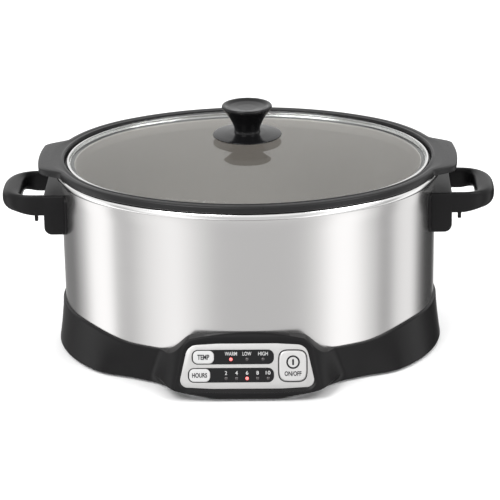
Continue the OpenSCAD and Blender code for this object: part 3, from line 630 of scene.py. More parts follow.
@dataclass
class Housing:
    """The steel wall and the heating well with its rolled bright rim."""

    plan: OvalPlan
    body: str = "heating_base"
    sheet: float = 1.0
    taper: float = 1.2
    rim: float = 5.0

    def __post_init__(self) -> None:
        """Takes heights and reach from the frame."""
        low, high = node_box("outer_shell")
        self.bottom, self.top = low[2], high[2]
        self.offset = high[0] - self.plan.end_centre
        self.well_low, self.well_high = node_box("heating_well")
        self.bead = self.well_high[0] - self.plan.end_centre

    def wall_offset(self, z: float) -> float:
        """Offset of the wall's face at a height."""
        return self.offset - self.taper * (self.top - z) / self.top

    def build(self) -> None:
        """Builds the wall and the well."""
        heights = np.linspace(self.bottom, self.top - 0.4, 12)
        outer = [(self.wall_offset(z), z) for z in heights] + [(self.offset - 0.15, self.top)]
        inner = [(r - self.sheet, z) for r, z in reversed(outer)]
        rings = [self.plan.ring(r, z, 60) for r, z in outer + inner]
        settle(Solid().skin(rings, looped=True).object("housing_wall", [STEEL]), self.body,
               "brushed_housing", "outer_shell")
        self._build_well()

    def _build_well(self) -> None:
        """Builds the heating well as one pressed sheet with a rolled rim."""
        z0, top, bead = self.well_low[2], self.well_high[2], self.bead
        wall = self.offset - 8.8
        profile = rounded([
            (wall - 15, z0, 0), (wall, z0, 12), (wall, self.top + 4, 1.2),
            (self.offset - 1, self.top + 4, 0.6),
            (self.offset - 1, self.top + 0.3, 0.5), (bead - 0.2, self.top + 0.5, 3.2), (bead, top, 3.4),
            (wall + 0.2, top, 3), (wall - 1, z0 + 14, 0), (wall - 1, z0 + 1, 11), (wall - 16, z0 + 1, 0)],
            steps=7)
        rings = [self.plan.ring(r, z, 60) for r, z in profile]
        settle(Solid().skin(rings).object("heating_well_pressing", [BRIGHT]), self.body,
               "polished_well", "heating_well")


# --- Pot -----------------------------------------------------------------------------------------


@dataclass
class Pot:
    """The lift-out pot with its broad ears."""

    plan: OvalPlan
    body: str = "pot"
    ear_reach: float = 14.0
    wall: float = 3.2
    draft: float = 6.0

    def __post_init__(self) -> None:
        """Takes heights and reach from the frame."""
        low, high = node_box("cooking_pot")
        self.bottom, self.top = low[2], high[2]
        self.rim = high[1] - self.plan.middle_y - self.plan.front(0.0)
        self.side = self.rim - 17.6

    def ear(self, angles: np.ndarray) -> np.ndarray:
        """Extra reach of the rim where an ear grows out of it."""
        off = np.degrees(np.abs(np.arcsin(np.abs(np.sin(angles)))))
        return (self.ear_reach + 1.2 * (off / 14) ** 2) * (1 - ease((off - 12.5) / 10))

    def build(self) -> None:
        """Builds the pot as one closed skin from its outer to its inner floor."""
        side, rim, top = self.side, self.rim, self.top
        under, ledge = top - 6.8, top - 5.8
        foot = side - self.draft
        floor = self.bottom + self.wall
        profile = [
            (foot - 12, self.bottom, 0, 0), (foot, self.bottom, 9, 0), (side, under - 3, 4, 0),
            (side + 0.6, under, 0.4, 0), (rim - 0.1, under, 1.8, 1), (rim, top - 0.4, 1.9, 1),
            (rim - 4.0, top - 0.1, 3, 0.4), (rim - 6.3, top - 0.7, 2, 0), (rim - 8.0, top, 1.0, 0),
            (rim - 9.4, top - 0.2, 0.8, 0), (rim - 10.2, ledge, 0.9, 0), (side - 2, ledge, 1.2, 0),
            (side - self.wall, under - 7, 6, 0), (foot - self.wall, floor + 7, 0, 0),
            (foot - self.wall - 0.6, floor, 11, 0), (foot - self.wall - 16, floor, 0, 0)]
        line = rounded([corner[:3] for corner in profile], steps=6)
        ears = np.interp([self._travel(line, i) for i in range(len(line))],
                         *self._ear_table(profile, line))
        angles = self.plan.angles(72)
        rings = [self.plan.lift(self.plan.points(angles, r + share * self.ear(angles)), z)
                 for (r, z), share in zip(line, ears)]
        # From the ledge inward the coating takes the pale grey of painted sheen and reflection.
        inside = next(i for i, (r, z) in enumerate(line) if i > len(line) // 2 and r < side - 1.2)
        piece = Solid().skin(rings, mark=lambda i: int(i >= inside)).object("pot_body", [POT, POT_INSIDE_PAINTED_SHEEN])
        settle(piece, self.body, "pot_coating", "cooking_pot")

    @staticmethod
    def _travel(line: Line, index: int) -> float:
        """Distance along a line up to one of its points."""
        steps = np.diff(np.array(line[: index + 1]), axis=0)
        return float(np.sum(np.hypot(steps[:, 0], steps[:, 1]))) if index else 0.0

    def _ear_table(self, profile: Sequence[tuple], line: Line) -> tuple[list[float], list[float]]:
        """Distance along the line at each corner, and the ear's share there."""
        spots = np.array(line)
        places, shares = [], []
        for r, z, _, share in profile:
            nearest = int(np.argmin(np.hypot(spots[:, 0] - r, spots[:, 1] - z)))
            places.append(self._travel(line, nearest))
            shares.append(share)
        return places, shares


# --- Lid -----------------------------------------------------------------------------------------


@dataclass
class Lid:
    """The domed glass, its rim band, and the knob on its collar."""

    plan: OvalPlan
    body: str = "lid"
    glass_t: float = 3.5
    dome_flat: float = 0.2
    dome_power: float = 2.2

    def __post_init__(self) -> None:
        """Takes heights and reach from the frame."""
        self.glass_low, self.glass_high = node_box("lid_glass")
        self.band_low, self.band_high = node_box("lid_rim_band")
        self.collar_low, self.collar_high = node_box("knob_collar")
        self.knob_low, self.knob_high = node_box("lid_knob")

    def build(self) -> None:
        """Builds the four shown pieces."""
        self._build_glass()
        self._build_band()
        self._build_collar()
        self._build_knob()

    def _build_glass(self) -> None:
        """Builds the glass as an upper and a lower dome that meet at a ground edge."""
        offset = self.glass_high[0] - self.plan.end_centre
        edge = self.plan.points(self.plan.angles(40), offset)
        top, low = self.glass_high[2], self.glass_low[2]
        shares = np.sin(np.linspace(0.02, 1, 48) * math.pi / 2)
        drop = top - self.glass_t - low
        fall = lambda s: drop * (max(0.0, s - self.dome_flat) / (1 - self.dome_flat)) ** self.dome_power
        under = [self.plan.lift(edge * s * 0.994, top - self.glass_t - fall(s)) for s in shares]
        rim = [self.plan.ring(offset - inset, low + rise, 40)
               for inset, rise in ((0.0, 0.4), (0.0, 1.4), (0.2, 1.6), (2.2, 1.6), (2.5, 2.8), (3.0, 3.6))]
        over = [self.plan.lift(edge * s, top - fall(s)) for s in shares[::-1] if s < 0.968]
        piece = Solid().skin(under + rim + over).object("lid_dome", [GLASS], sharp=50)
        settle(piece, self.body, "lid_glass", "lid_glass")

    def _build_band(self) -> None:
        """Builds the rolled channel round the glass."""
        out = self.band_high[0] - self.plan.end_centre
        low, high = self.band_low[2], self.band_high[2]
        profile = rounded([
            (out - 3.6, low, 0.3), (out, low, 1.1), (out, high, 1.2), (out - 2.3, high, 0.25),
            (out - 2.3, high - 0.5, 0.2), (out - 1.3, high - 0.6, 0.3), (out - 1.3, low + 0.7, 0.3),
            (out - 3.6, low + 0.7, 0.3)], looped=True)
        rings = [self.plan.ring(r, z, 60) for r, z in profile]
        settle(Solid().skin(rings, looped=True).object("lid_band_ring", [BRIGHT]), self.body,
               "polished_well", "lid_rim_band")

    def _build_collar(self) -> None:
        """Builds the wide dished collar under the knob."""
        r = self.collar_high[0]
        low, high = self.collar_low[2], self.collar_high[2]
        profile = rounded([(2.6, low, 0), (r - 0.5, low, 0.3), (r, low + 0.5, 0.3), (r - 0.4, low + 1.0, 0.3),
                           (r - 4.0, low + 1.6, 5), (17.5, high - 0.2, 2), (15.5, high, 0), (2.6, high, 0)])
        place = Matrix.Translation((0, self.plan.middle_y, 0))
        settle(Solid().skin(lathe(profile), looped=True).object("knob_collar_disc", [KNOB], place),
               self.body, "knob_gloss", "knob_collar")

    def _build_knob(self) -> None:
        """Builds the flared knob with its dished top."""
        r = self.knob_high[0]
        z0 = self.knob_low[2]
        h = self.knob_high[2] - z0
        flare = smooth_line([(r * 0.53, z0 + 0.1), (r * 0.512, z0 + h * 0.09), (r * 0.53, z0 + h * 0.2),
                             (r * 0.62, z0 + h * 0.4), (r * 0.78, z0 + h * 0.64), (r * 0.91, z0 + h * 0.8),
                             (r * 0.97, z0 + h * 0.87)])
        lip = rounded([(r * 0.98, z0 + h * 0.885, 0), (r, z0 + h * 0.93, 1.2), (r - 0.5, z0 + h, 1.2),
                       (r - 3.2, z0 + h - 0.1, 2), (r * 0.72, z0 + h - 1.7, 6), (r * 0.4, z0 + h - 2.5, 8),
                       (0.4, z0 + h - 2.7, 0)])
        profile = [(2.5, z0), (r * 0.52, z0)] + flare + lip
        place = Matrix.Translation((0, self.plan.middle_y, 0))
        settle(Solid().skin(lathe(profile)).object("lid_knob_turning", [KNOB], place, sharp=40),
               self.body, "knob_gloss", "lid_knob")


# --- Base ----------------------------------------------------------------------------------------


def soft_rectangle(width: float, height: float, radius: float, middle: tuple[float, float] = (0.0, 0.0),
                   steps: int = 10) -> Callable[[float], Line]:
    """Outline of a rectangle with round corners, as a function of how far it is grown."""
    def outline(grow: float) -> Line:
        """Corner points of the grown rectangle."""
        x, y, r = width / 2 + grow, height / 2 + grow, max(radius + grow, 0.05)
        corners = [(x, -y, r), (x, y, r), (-x, y, r), (-x, -y, r)]
        return [(middle[0] + u, middle[1] + v) for u, v in rounded(corners, True, steps)]
    return outline


def prism(outline: Callable[[float], Line], profile: Sequence[tuple[float, float]]) -> list[np.ndarray]:
    """Rings of an upright prism whose edge follows (growth, height) pairs."""
    rings = []
    for grow, w in profile:
        flat = np.array(outline(grow))
        rings.append(np.column_stack((flat, np.full(len(flat), w))))
    return rings


@dataclass
class Base:
    """The moulded base with its raised front console and the cord's gland."""

    plan: OvalPlan
    housing: Housing
    body: str = "heating_base"
    saddle: float = 34.0
    ends: float = 41.0
    wall: float = 2.5
    flare: float = 4.4
    tuck: float = -2.8
    nose_in: float = 24.0
    hood_bow: float = 5.0
    bezel: float = 0.6

    def __post_init__(self) -> None:
        """Takes heights from the frame, and places the fascia's plane."""
        low, high = node_box("base_skirt")
        self.lift, self.top = low[2], high[2]
        self.lip = self.housing.offset + 1.5
        self.half = self.housing.offset + self.plan.end_centre
        self.console = Console(self)

    def edge_height(self, flat: np.ndarray) -> np.ndarray:
        """Height of the top edge over plan points: low beside the console and raised over it."""
        x, front = np.abs(flat[:, 0]), flat[:, 1] < 0
        ends = mix(self.saddle, self.ends, ease((x / self.half - 0.6) / 0.3))
        raised = np.where(front, 1 - ease((x - self.console.top_width / 2 + 1.5) / 24), 0.0)
        plain = np.where(front, ends, mix(ends, self.ends, 0.5))
        hood = self.top - self.lift - self.hood_bow * np.minimum(x / self.console.top_width * 2, 1.2) ** 2
        return self.lift + mix(plain, hood, raised)

    def nose(self, z: np.ndarray) -> np.ndarray:
        """Foremost line of the console, as a distance in front of the middle."""
        face, low, high = self.console.face, self.console.low, self.console.high
        front = self.plan.front(self.housing.offset)
        marks = [self.lift, self.lift + 3, low - 4, low - 1, high + 2, self.top - 3, self.top]
        reach = [face(low) + 1, face(low) + 2.2, face(low) + 2.2, face(low - 1), face(high + 2),
                 front + 4, front + 1.6]
        return np.interp(z, marks, reach)

    def nose_share(self, x: np.ndarray, z: np.ndarray) -> np.ndarray:
        """Share of the console's depth at a half width and height."""
        console = self.console
        rise = ease((z - self.lift) / (console.low - self.lift))
        half = mix(console.width / 2, console.top_width / 2, (z - console.low) / (console.high - console.low))
        inner = mix(self.nose_in, half + 2.5, rise)
        outer = mix(console.width / 2 + 28, half + 25, rise)
        return 1 - ease((x - inner) / (outer - inner))

    def ring(self, share: float, depth: float, inside: bool) -> np.ndarray:
        """Ring round the wall at a share of its height.

        Args:
            share: From 0 at the lower edge to 1 at the top edge.
            depth: How far the ring lies inside the outer face.
            inside: Whether it belongs to the inner face, which laps the housing.

        Returns:
            The ring's points in the row frame.
        """
        angles = self.plan.angles(76)
        lip = self.plan.points(angles, self.lip)
        top = self.edge_height(lip)
        z = mix(self.lift, top, share)
        ends = ease((np.abs(lip[:, 0]) / self.half - 0.6) / 0.2)
        sink = np.power(np.clip((top - z) / (top - self.lift), 0, 1), 1.4)
        offset = self.lip + mix(self.tuck, self.flare, ends) * sink - depth
        opened = np.ones(len(z))
        if inside:
            lapped = ease((z - self.housing.bottom + 5) / 4)
            offset = mix(offset, self.housing.wall_offset(z) + 0.15, lapped)
            opened = 1 - ease((z - top + 8) / 5)
        flat = self.plan.points(angles, offset)
        reach = np.abs(flat[:, 1])
        nosed = mix(reach, np.maximum(reach, self.nose(z) - depth),
                    self.nose_share(np.abs(flat[:, 0]), z) * opened)
        flat[:, 1] = np.where(flat[:, 1] < 0, -nosed, flat[:, 1])
        return self.plan.lift(flat, z)

    def build(self) -> None:
        """Builds the moulding, the gland and the console."""
        outer = [(0.0, 0.9), (0.006, 0.3), (0.018, 0.0)] + [(t, 0.0) for t in np.linspace(0.04, 0.97, 44)]
        outer += [(0.982, 0.12), (0.992, 0.4), (1.0, 0.9)]
        rings = [self.ring(share, depth, False) for share, depth in outer]
        rings += [self.ring(share, self.wall, True) for share in np.linspace(1.0, 0.0, 14)]
        skirt = Solid().skin(rings, looped=True).object("base_moulding", [BLACK])
        cut(skirt, self.console.recess(), self.console.opening(), *self._vents(), self._gland_hole())
        tidy_mesh(skirt, 28)
        settle(skirt, self.body, "black_moulding", "base_skirt")
        self._build_gland()
        self.console.build()

    def _vents(self) -> list[bpy.types.Object]:
        """Tools for the row of vents at the back."""
        back = self.plan.middle_y + self.plan.front(self.lip)
        slot = soft_rectangle(4, 3, 1.2)
        return [Solid().skin(prism(slot, [(0, -12), (0, 12)])).object(
            f"vent_tool_{i}", [BLACK], Matrix.Translation((i * 9, back - 2, self.lift + 29))
            @ Matrix.Rotation(math.pi / 2, 4, "X")) for i in range(-2, 3)]

    def _gland_place(self) -> Matrix:
        """Placement of the gland: its axis points out of the back."""
        low, high = node_box("cord_gland")
        turn = Matrix.Rotation(-math.pi / 2, 4, "X")
        return Matrix.Translation((0, high[1], (low[2] + high[2]) / 2)) @ turn

    def _gland_hole(self) -> bpy.types.Object:
        """Tool for the gland's hole."""
        bore = Solid().skin(lathe([(7.05, -22), (7.05, 5)], 64))
        return bore.object("gland_tool", [BLACK], self._gland_place())

    def _build_gland(self) -> None:
        """Builds the rubber gland with its collar."""
        profile = rounded([(4.0, -20, 0.3), (6.95, -20, 0.6), (6.95, -2, 0.2), (9.2, -2, 0.5), (8.2, 0, 0.6),
                           (4.0, 0, 0.8)], looped=True)
        bush = Solid().skin(lathe(profile, 72), looped=True)
        settle(bush.object("cord_gland_bush", [RUBBER], self._gland_place()),
               self.body, "gland_black", "cord_gland")


# --- Console -------------------------------------------------------------------------------------


class Label(Enum):
    """Printed words: text, middle across and up, width and height, in millimetres."""

    TEMP = ("TEMP", -38.5, 8.0, 10.6, 4.6)
    HOURS = ("HOURS", -41.9, -8.0, 13.4, 4.2)
    WARM = ("WARM", -14.2, 10.9, 10.8, 3.3)
    LOW = ("LOW", 0.0, 10.9, 7.8, 3.3)
    HIGH = ("HIGH", 14.2, 10.9, 8.6, 3.3)
    TWO = ("2", -18.6, -6.0, 2.0, 3.3)
    FOUR = ("4", -9.3, -6.0, 2.2, 3.3)
    SIX = ("6", 0.0, -6.0, 2.2, 3.3)
    EIGHT = ("8", 9.3, -6.0, 2.2, 3.3)
    TEN = ("10", 18.6, -6.0, 4.2, 3.3)
    POWER = ("ON/OFF", 40.6, -6.9, 15.0, 4.2)


@dataclass
class Console:
    """The fascia with its windows, lamps, buttons and print."""

    base: "Base"
    body: str = "heating_base"
    width: float = 123.0
    top_width: float = 103.0
    height: float = 40.0
    tilt: float = 22.0
    reach: float = 12.8
    plate: float = 1.2
    row: float = 8.0
    window_end: float = 23.7
    window_height: float = 12.6
    key_width: float = 18.6
    key_margin: float = 0.9
    proud: float = 0.9
    temp_x: float = -38.5
    hours_x: float = -41.9
    power: tuple[float, float] = (40.4, 0.0)
    power_size: tuple[float, float] = (24.0, 26.8)
    lamp_r: float = 1.5

    def __post_init__(self) -> None:
        """Places the fascia's plane."""
        rise = self.height * math.cos(math.radians(self.tilt)) / 2
        self.middle_z = self.base.top - 8.6 - rise
        self.low, self.high = self.middle_z - rise, self.middle_z + rise
        self.distance = self.base.plan.front(self.base.housing.offset) + self.reach
        self.place = Frame3((0.0, self.base.plan.middle_y - self.distance, self.middle_z), self.tilt).matrix()

    def face(self, z: float) -> float:
        """Distance of the moulding's face in front of the middle at a height."""
        return self.distance + self.base.bezel + (self.middle_z - z) * math.tan(math.radians(self.tilt))

    def outline(self, grow: float) -> Line:
        """Outline of the fascia, grown by a distance: a trapezium with gently bowed level edges."""
        half = self.height / 2 + grow
        low, high = self.width / 2 + grow, self.top_width / 2 + grow
        corners = [(low - 0.8, 1.6 - half, 6.6 + grow), (high + 1.0, half - 1.6, 10.5 + grow),
                   (high * 0.5, half - 0.1, 60), (-high * 0.5, half - 0.1, 60),
                   (-high - 1.0, half - 1.6, 10.5 + grow), (0.8 - low, 1.6 - half, 6.6 + grow),
                   (-low * 0.5, -half, 60), (low * 0.5, -half, 60)]
        return rounded(corners, True, 10)

    def recess(self) -> bpy.types.Object:
        """Tool for the seat of the fascia, with a rounded mouth."""
        profile = [(0.15, -self.plate - 0.1), (0.15, -0.5), (0.5, -0.35), (1.4, 0.05), (2.4, 0.38),
                   (3.4, 0.7), (4.4, 9)]
        return Solid().skin(prism(self.outline, profile)).object("recess_tool", [BLACK], self.place)

    def opening(self) -> bpy.types.Object:
        """Tool for the opening behind the fascia."""
        hole = Solid().skin(prism(self.outline, [(-5, -12), (-5, 0)]))
        return hole.object("opening_tool", [BLACK], self.place)

    def window(self, x: float, y: float) -> Callable[[float], Line]:
        """Outline of the window round a button at x, up to the common right end."""
        low = x - self.key_width / 2 - self.key_margin
        middle = ((self.window_end + low) / 2, y)
        return soft_rectangle(self.window_end - low, self.window_height, 5.2, middle)

    def key(self, x: float, y: float) -> Callable[[float], Line]:
        """Outline of a small button."""
        return soft_rectangle(self.key_width, self.window_height - 2 * self.key_margin + 0.6, 4.4, (x, y))

    def barrel(self, grow: float) -> Line:
        """Outline of the ON/OFF button: a rectangle with bowed sides and round corners."""
        a, b = self.power_size[0] / 2 + grow, self.power_size[1] / 2 + grow
        turn = np.linspace(0, 2 * math.pi, 96, endpoint=False)
        return [(self.power[0] + a * math.copysign(abs(math.cos(t)) ** 0.52, math.cos(t)),
                 self.power[1] + b * math.copysign(abs(math.sin(t)) ** 0.52, math.sin(t))) for t in turn]

    def build(self) -> None:
        """Builds every piece of the console."""
        self._build_fascia()
        self._build_window("temp_window_pane", "temp_window", self.temp_x, self.row)
        self._build_window("hours_window_pane", "hours_window", self.hours_x, -self.row)
        self._build_key("temp", self.key(self.temp_x, self.row), KEYS)
        self._build_key("hours", self.key(self.hours_x, -self.row), KEYS)
        self._build_key("power", self.barrel, POWER_KEY)
        self._build_lamps("temp_lamp", "temp_lamps", (-14.2, 0.0, 14.2), self.row - 2, 0)
        self._build_lamps("hours_lamp", "hours_lamps", (-18.6, -9.3, 0.0, 9.3, 18.6), -self.row - 2.9, 2)
        self._build_print()

    def _build_fascia(self) -> None:
        """Builds the silver plate with its three cut-outs."""
        plate = Solid().skin(prism(self.outline, [(0, -self.plate), (0, -0.35), (-0.12, -0.1), (-0.4, 0)]))
        fascia = plate.object("fascia_plate", [FASCIA], self.place)
        mouths = [self.window(self.temp_x, self.row), self.window(self.hours_x, -self.row), self.barrel]
        tools = [Solid().skin(prism(mouth, [(0.1, -3), (0.1, -0.2), (0.3, 0.02), (0.6, 0.5)])).object(
            "mouth_tool", [FASCIA], self.place) for mouth in mouths]
        cut(fascia, *tools)
        tidy_mesh(fascia, 30)
        settle(fascia, self.body, "silver_fascia", "panel_fascia")

    def _build_window(self, name: str, node: str, x: float, y: float) -> None:
        """Builds a dark window with the hole for its button."""
        outline = self.window(x, y)
        pane = Solid().skin(prism(outline, [(0, -self.plate), (0, -0.3), (-0.25, -0.1)])).object(
            name, [WINDOW], self.place)
        hole = Solid().skin(prism(self.key(x, y), [(0.15, -4), (0.15, 1)]))
        cut(pane, hole.object("key_tool", [WINDOW], self.place))
        tidy_mesh(pane, 30)
        settle(pane, self.body, "window_black", node)

    def _build_key(self, name: str, outline: Callable[[float], Line], finish: Finish) -> None:
        """Builds a button cap with a crowned face."""
        edge = self.proud
        profile = [(0, -2.4), (0, edge - 0.7), (-0.1, edge - 0.35), (-0.35, edge - 0.12), (-0.8, edge - 0.02),
                   (-2.2, edge)]
        cap = Solid().skin(prism(outline, profile)).object(f"{name}_key_cap", [finish], self.place, sharp=40)
        settle(cap, f"{name}_key", "key_silver", f"{name}_button")

    def _build_lamps(self, name: str, node: str, places: Sequence[float], y: float, lit: int) -> None:
        """Builds a row of domed lamps, of which one is lit."""
        for i, x in enumerate(places):
            r = self.lamp_r
            profile = [(r, -5), (r, -0.1), (r * 0.97, 0.05), (r * 0.8, 0.28), (r * 0.5, 0.45),
                       (r * 0.12, 0.52)]
            finish = LAMP_LIT if i == lit else LAMP_DARK
            lamp = Solid().skin(lathe(profile, 36)).object(
                f"{name}_{i + 1}", [finish], self.place @ Matrix.Translation((x, y, 0)))
            settle(lamp, self.body, "lamp_red", *([node] if i == 0 else []))

    def _build_print(self) -> None:
        """Prints the words, the ON/OFF sign and the thin line round its button."""
        on_keys = {Label.TEMP: "temp_key", Label.HOURS: "hours_key", Label.POWER: "power_key"}
        for label in Label:
            text, x, y, width, height = label.value
            body = on_keys.get(label, self.body)
            finish = INK_DARK if label in on_keys else INK_LIGHT
            level = self.proud + 0.01 if label in on_keys else -0.09
            piece = self._word(f"print_{label.name.lower()}", text, (x, y, level), (width, height), finish)
            settle(piece, body, "key_silver" if label in on_keys else "window_black")
        self._build_sign()
        line = [np.column_stack((np.array(self.barrel(g)), np.full(96, w)))
                for g, w in ((0.32, 0.03), (0.32, 0.01), (1.15, 0.01), (1.15, 0.03))]
        settle(Solid().skin(line, looped=True).object("power_button_line", [INK_DARK], self.place),
               self.body, "window_black")

    def _build_sign(self) -> None:
        """Prints the ring and bar of the ON/OFF sign."""
        x, y = self.power[0] + 0.3, self.power[1] + 3.2
        level = self.proud + 0.02
        ring = lathe([(4.5, level), (4.5, level + 0.03), (6.0, level + 0.03), (6.0, level)], 64)
        bar = prism(soft_rectangle(1.7, 5.4, 0.8), [(0, level), (0, level + 0.03)])
        sign = Solid().skin(ring, looped=True).skin(bar)
        settle(sign.object("print_power_sign", [INK_DARK], self.place @ Matrix.Translation((x, y, 0))),
               "power_key", "key_silver")

    def _word(self, name: str, text: str, spot: tuple[float, float, float], size: tuple[float, float],
              finish: Finish) -> bpy.types.Object:
        """One printed word as a thin mesh.

        Args:
            name: The object's name.
            text: What it says.
            spot: Middle across and up, and level above the fascia's face.
            size: Width and height of the word.
            finish: Its ink.

        Returns:
            The mesh object.
        """
        curve = bpy.data.curves.new(name, "FONT")
        curve.body = text
        curve.extrude = 0.012
        curve.offset = 0.036 if finish is INK_DARK else 0.008
        curve.resolution_u = 4
        source = bpy.data.objects.new(name + "_text", curve)
        bpy.context.scene.collection.objects.link(source)
        bpy.context.view_layer.update()
        mesh = bpy.data.meshes.new_from_object(source.evaluated_get(bpy.context.evaluated_depsgraph_get()))
        bpy.data.objects.remove(source)
        spots = np.array([v.co for v in mesh.vertices])
        low, high = spots.min(0), spots.max(0)
        scale = Matrix.Diagonal((size[0] / (high[0] - low[0]), size[1] / (high[1] - low[1]), 1, 1))
        centre = Matrix.Translation((-(low[0] + high[0]) / 2, -(low[1] + high[1]) / 2, 0))
        mesh.transform(Matrix.Scale(MM, 4) @ self.place @ Matrix.Translation(spot) @ scale @ centre)
        mesh.materials.clear()
        mesh.materials.append(finish.material())
        piece = bpy.data.objects.new(name, mesh)
        bpy.context.scene.collection.objects.link(piece)
        return piece


# --- Side handles ----------------------------------------------------------------------------------


@dataclass
class SideHandle:
    """A moulded loop on a bracket at one end of the housing."""

    plan: OvalPlan
    housing: Housing
    node: str
    side: int
    body: str = "heating_base"
    half: float = 37.5
    arm: float = 5.5
    grip: float = 18.0
    root_height: float = 19.0
    tip_height: float = 16.5

    def __post_init__(self) -> None:
        """Takes heights and reach from the frame."""
        low, high = node_box(self.node)
        self.bottom, self.top = low[2], high[2]
        self.tip = max(abs(low[0]), abs(high[0]))
        self.root = self.housing.offset + self.plan.end_centre
        self.bracket = self.root + 14

    def build(self) -> None:
        """Builds the loop, the bracket and the small rib as one moulding, and the pad as a piece of its own.
        """
        moulding = self._loop()
        combine(moulding, "UNION", self._bracket(), self._rib())
        tidy_mesh(moulding, 40)
        pad = self._pad()
        for piece, part in ((moulding, "loop"), (pad, "pad")):
            mirror = Matrix.Diagonal((self.side, 1, 1, 1))
            piece.data.transform(Matrix.Translation((0, self.plan.middle_y * MM, 0)) @ mirror)
            tidy_mesh(piece, 40)
            piece.name = f"{self.node}_{part}"
            settle(piece, self.body, "black_moulding", *([self.node] if part == "loop" else []))

    def _loop(self) -> bpy.types.Object:
        """The swept loop: thin arms that widen into a round grip."""
        arc = np.radians(np.linspace(-90, 90, 61))
        start, outer_x, inner_x = self.root - 3, self.tip - 40, self.tip - self.grip - 15
        bow = lambda value, power: np.sign(value) * np.abs(value) ** (2 / power)
        outer = np.column_stack((outer_x + 40 * bow(np.cos(arc), 3.0), self.half * bow(np.sin(arc), 3.0)))
        inner = np.column_stack((inner_x + 15 * bow(np.cos(arc), 4.2),
                                 (self.half - self.arm) * bow(np.sin(arc), 4.2)))
        lead = np.linspace(0, 1, 9)[:-1]
        near = [np.column_stack((mix(start, end, lead), np.full(8, -y)))
                for end, y in ((outer_x, self.half), (inner_x, self.half - self.arm))]
        far = [np.flipud(part * (1, -1)) for part in near]
        outer = np.vstack((near[0], outer, far[0]))
        inner = np.vstack((near[1], inner, far[1]))
        rings = []
        section = np.linspace(0, 2 * math.pi, 40, endpoint=False)
        for out, into in zip(outer, inner):
            gripped = float(ease(np.array((out[0] - (self.tip - 34)) / 26)))
            power = mix(5.0, 2.7, gripped)
            high = mix(self.root_height, self.tip_height, gripped)
            across, up = bow(np.cos(section), power), bow(np.sin(section), power)
            middle, reach = (out + into) / 2, (out - into) / 2
            flat = middle + np.outer(across, reach)
            rings.append(np.column_stack((flat, self.top - high / 2 + up * high / 2)))
        return Solid().skin(rings).object("handle_loop_work", [BLACK])

    def _bracket(self) -> bpy.types.Object:
        """The block between the housing and the loop, hollowed to the housing's wall."""
        side = rounded([(self.root - 14, self.bottom, 0), (self.bracket, self.bottom, 7),
                        (self.bracket, self.top, 1.6), (self.root - 14, self.top, 0)], steps=8)
        rows = [(1.5, -self.half), (0.5, -self.half + 0.4), (0.1, -self.half + 1.0), (0.0, -self.half + 1.7)]
        rows += [(0.0, y) for y in np.linspace(-self.half + 4, self.half - 4, 13)]
        rows += [(inset, -y) for inset, y in reversed(rows[:4])]
        middle_z = (self.bottom + self.top) / 2
        rings = []
        for inset, y in rows:
            x = np.array([p[0] for p in side])
            z = np.array([p[1] for p in side])
            x = np.maximum(x - inset * (x > self.root + 1), self._wall_x(y) - 0.4)
            z = middle_z + (z - middle_z) * (1 - inset / (self.top - middle_z))
            rings.append(np.column_stack((x, np.full(len(x), y), z)))
        return Solid().skin(rings).object("bracket_tool", [BLACK])

    def _wall_x(self, y: float) -> float:
        """Where the housing's wall stands at a distance y from the middle."""
        return self.plan.end_centre + math.sqrt(self.housing.wall_offset(self.bottom) ** 2 - y * y)

    def _rib(self) -> bpy.types.Object:
        """The small rib under the front arm."""
        rib = prism(soft_rectangle(3.3, 3.0, 0.6, (self.bracket + 6.7, 1.6 - self.half)),
                    [(-0.6, self.top - 24), (0, self.top - 23.2), (0, self.top - 14)])
        return Solid().skin(rib).object("rib_tool", [BLACK])

    def _pad(self) -> bpy.types.Object:
        """The pad that hugs the wall behind the bracket."""
        spread = self.half + 6
        outline = soft_rectangle(2 * spread, self.top - self.bottom, 8.0, (0, (self.top + self.bottom) / 2))
        rings = []
        for grow, lift in ((0, -0.3), (0, 0.7), (-0.15, 1.1), (-0.6, 1.4), (-spread * 0.5, 1.4)):
            flat = np.array(outline(grow) if grow > -2 else [(u * 0.5, v) for u, v in outline(-0.6)])
            turn = flat[:, 0] / self.housing.offset
            r = self.housing.offset + lift
            x = self.plan.end_centre + r * np.cos(turn)
            rings.append(np.column_stack((x, r * np.sin(turn), flat[:, 1])))
        return Solid().skin(rings).object("pad_work", [BLACK])


# --- Studio --------------------------------------------------------------------------------------


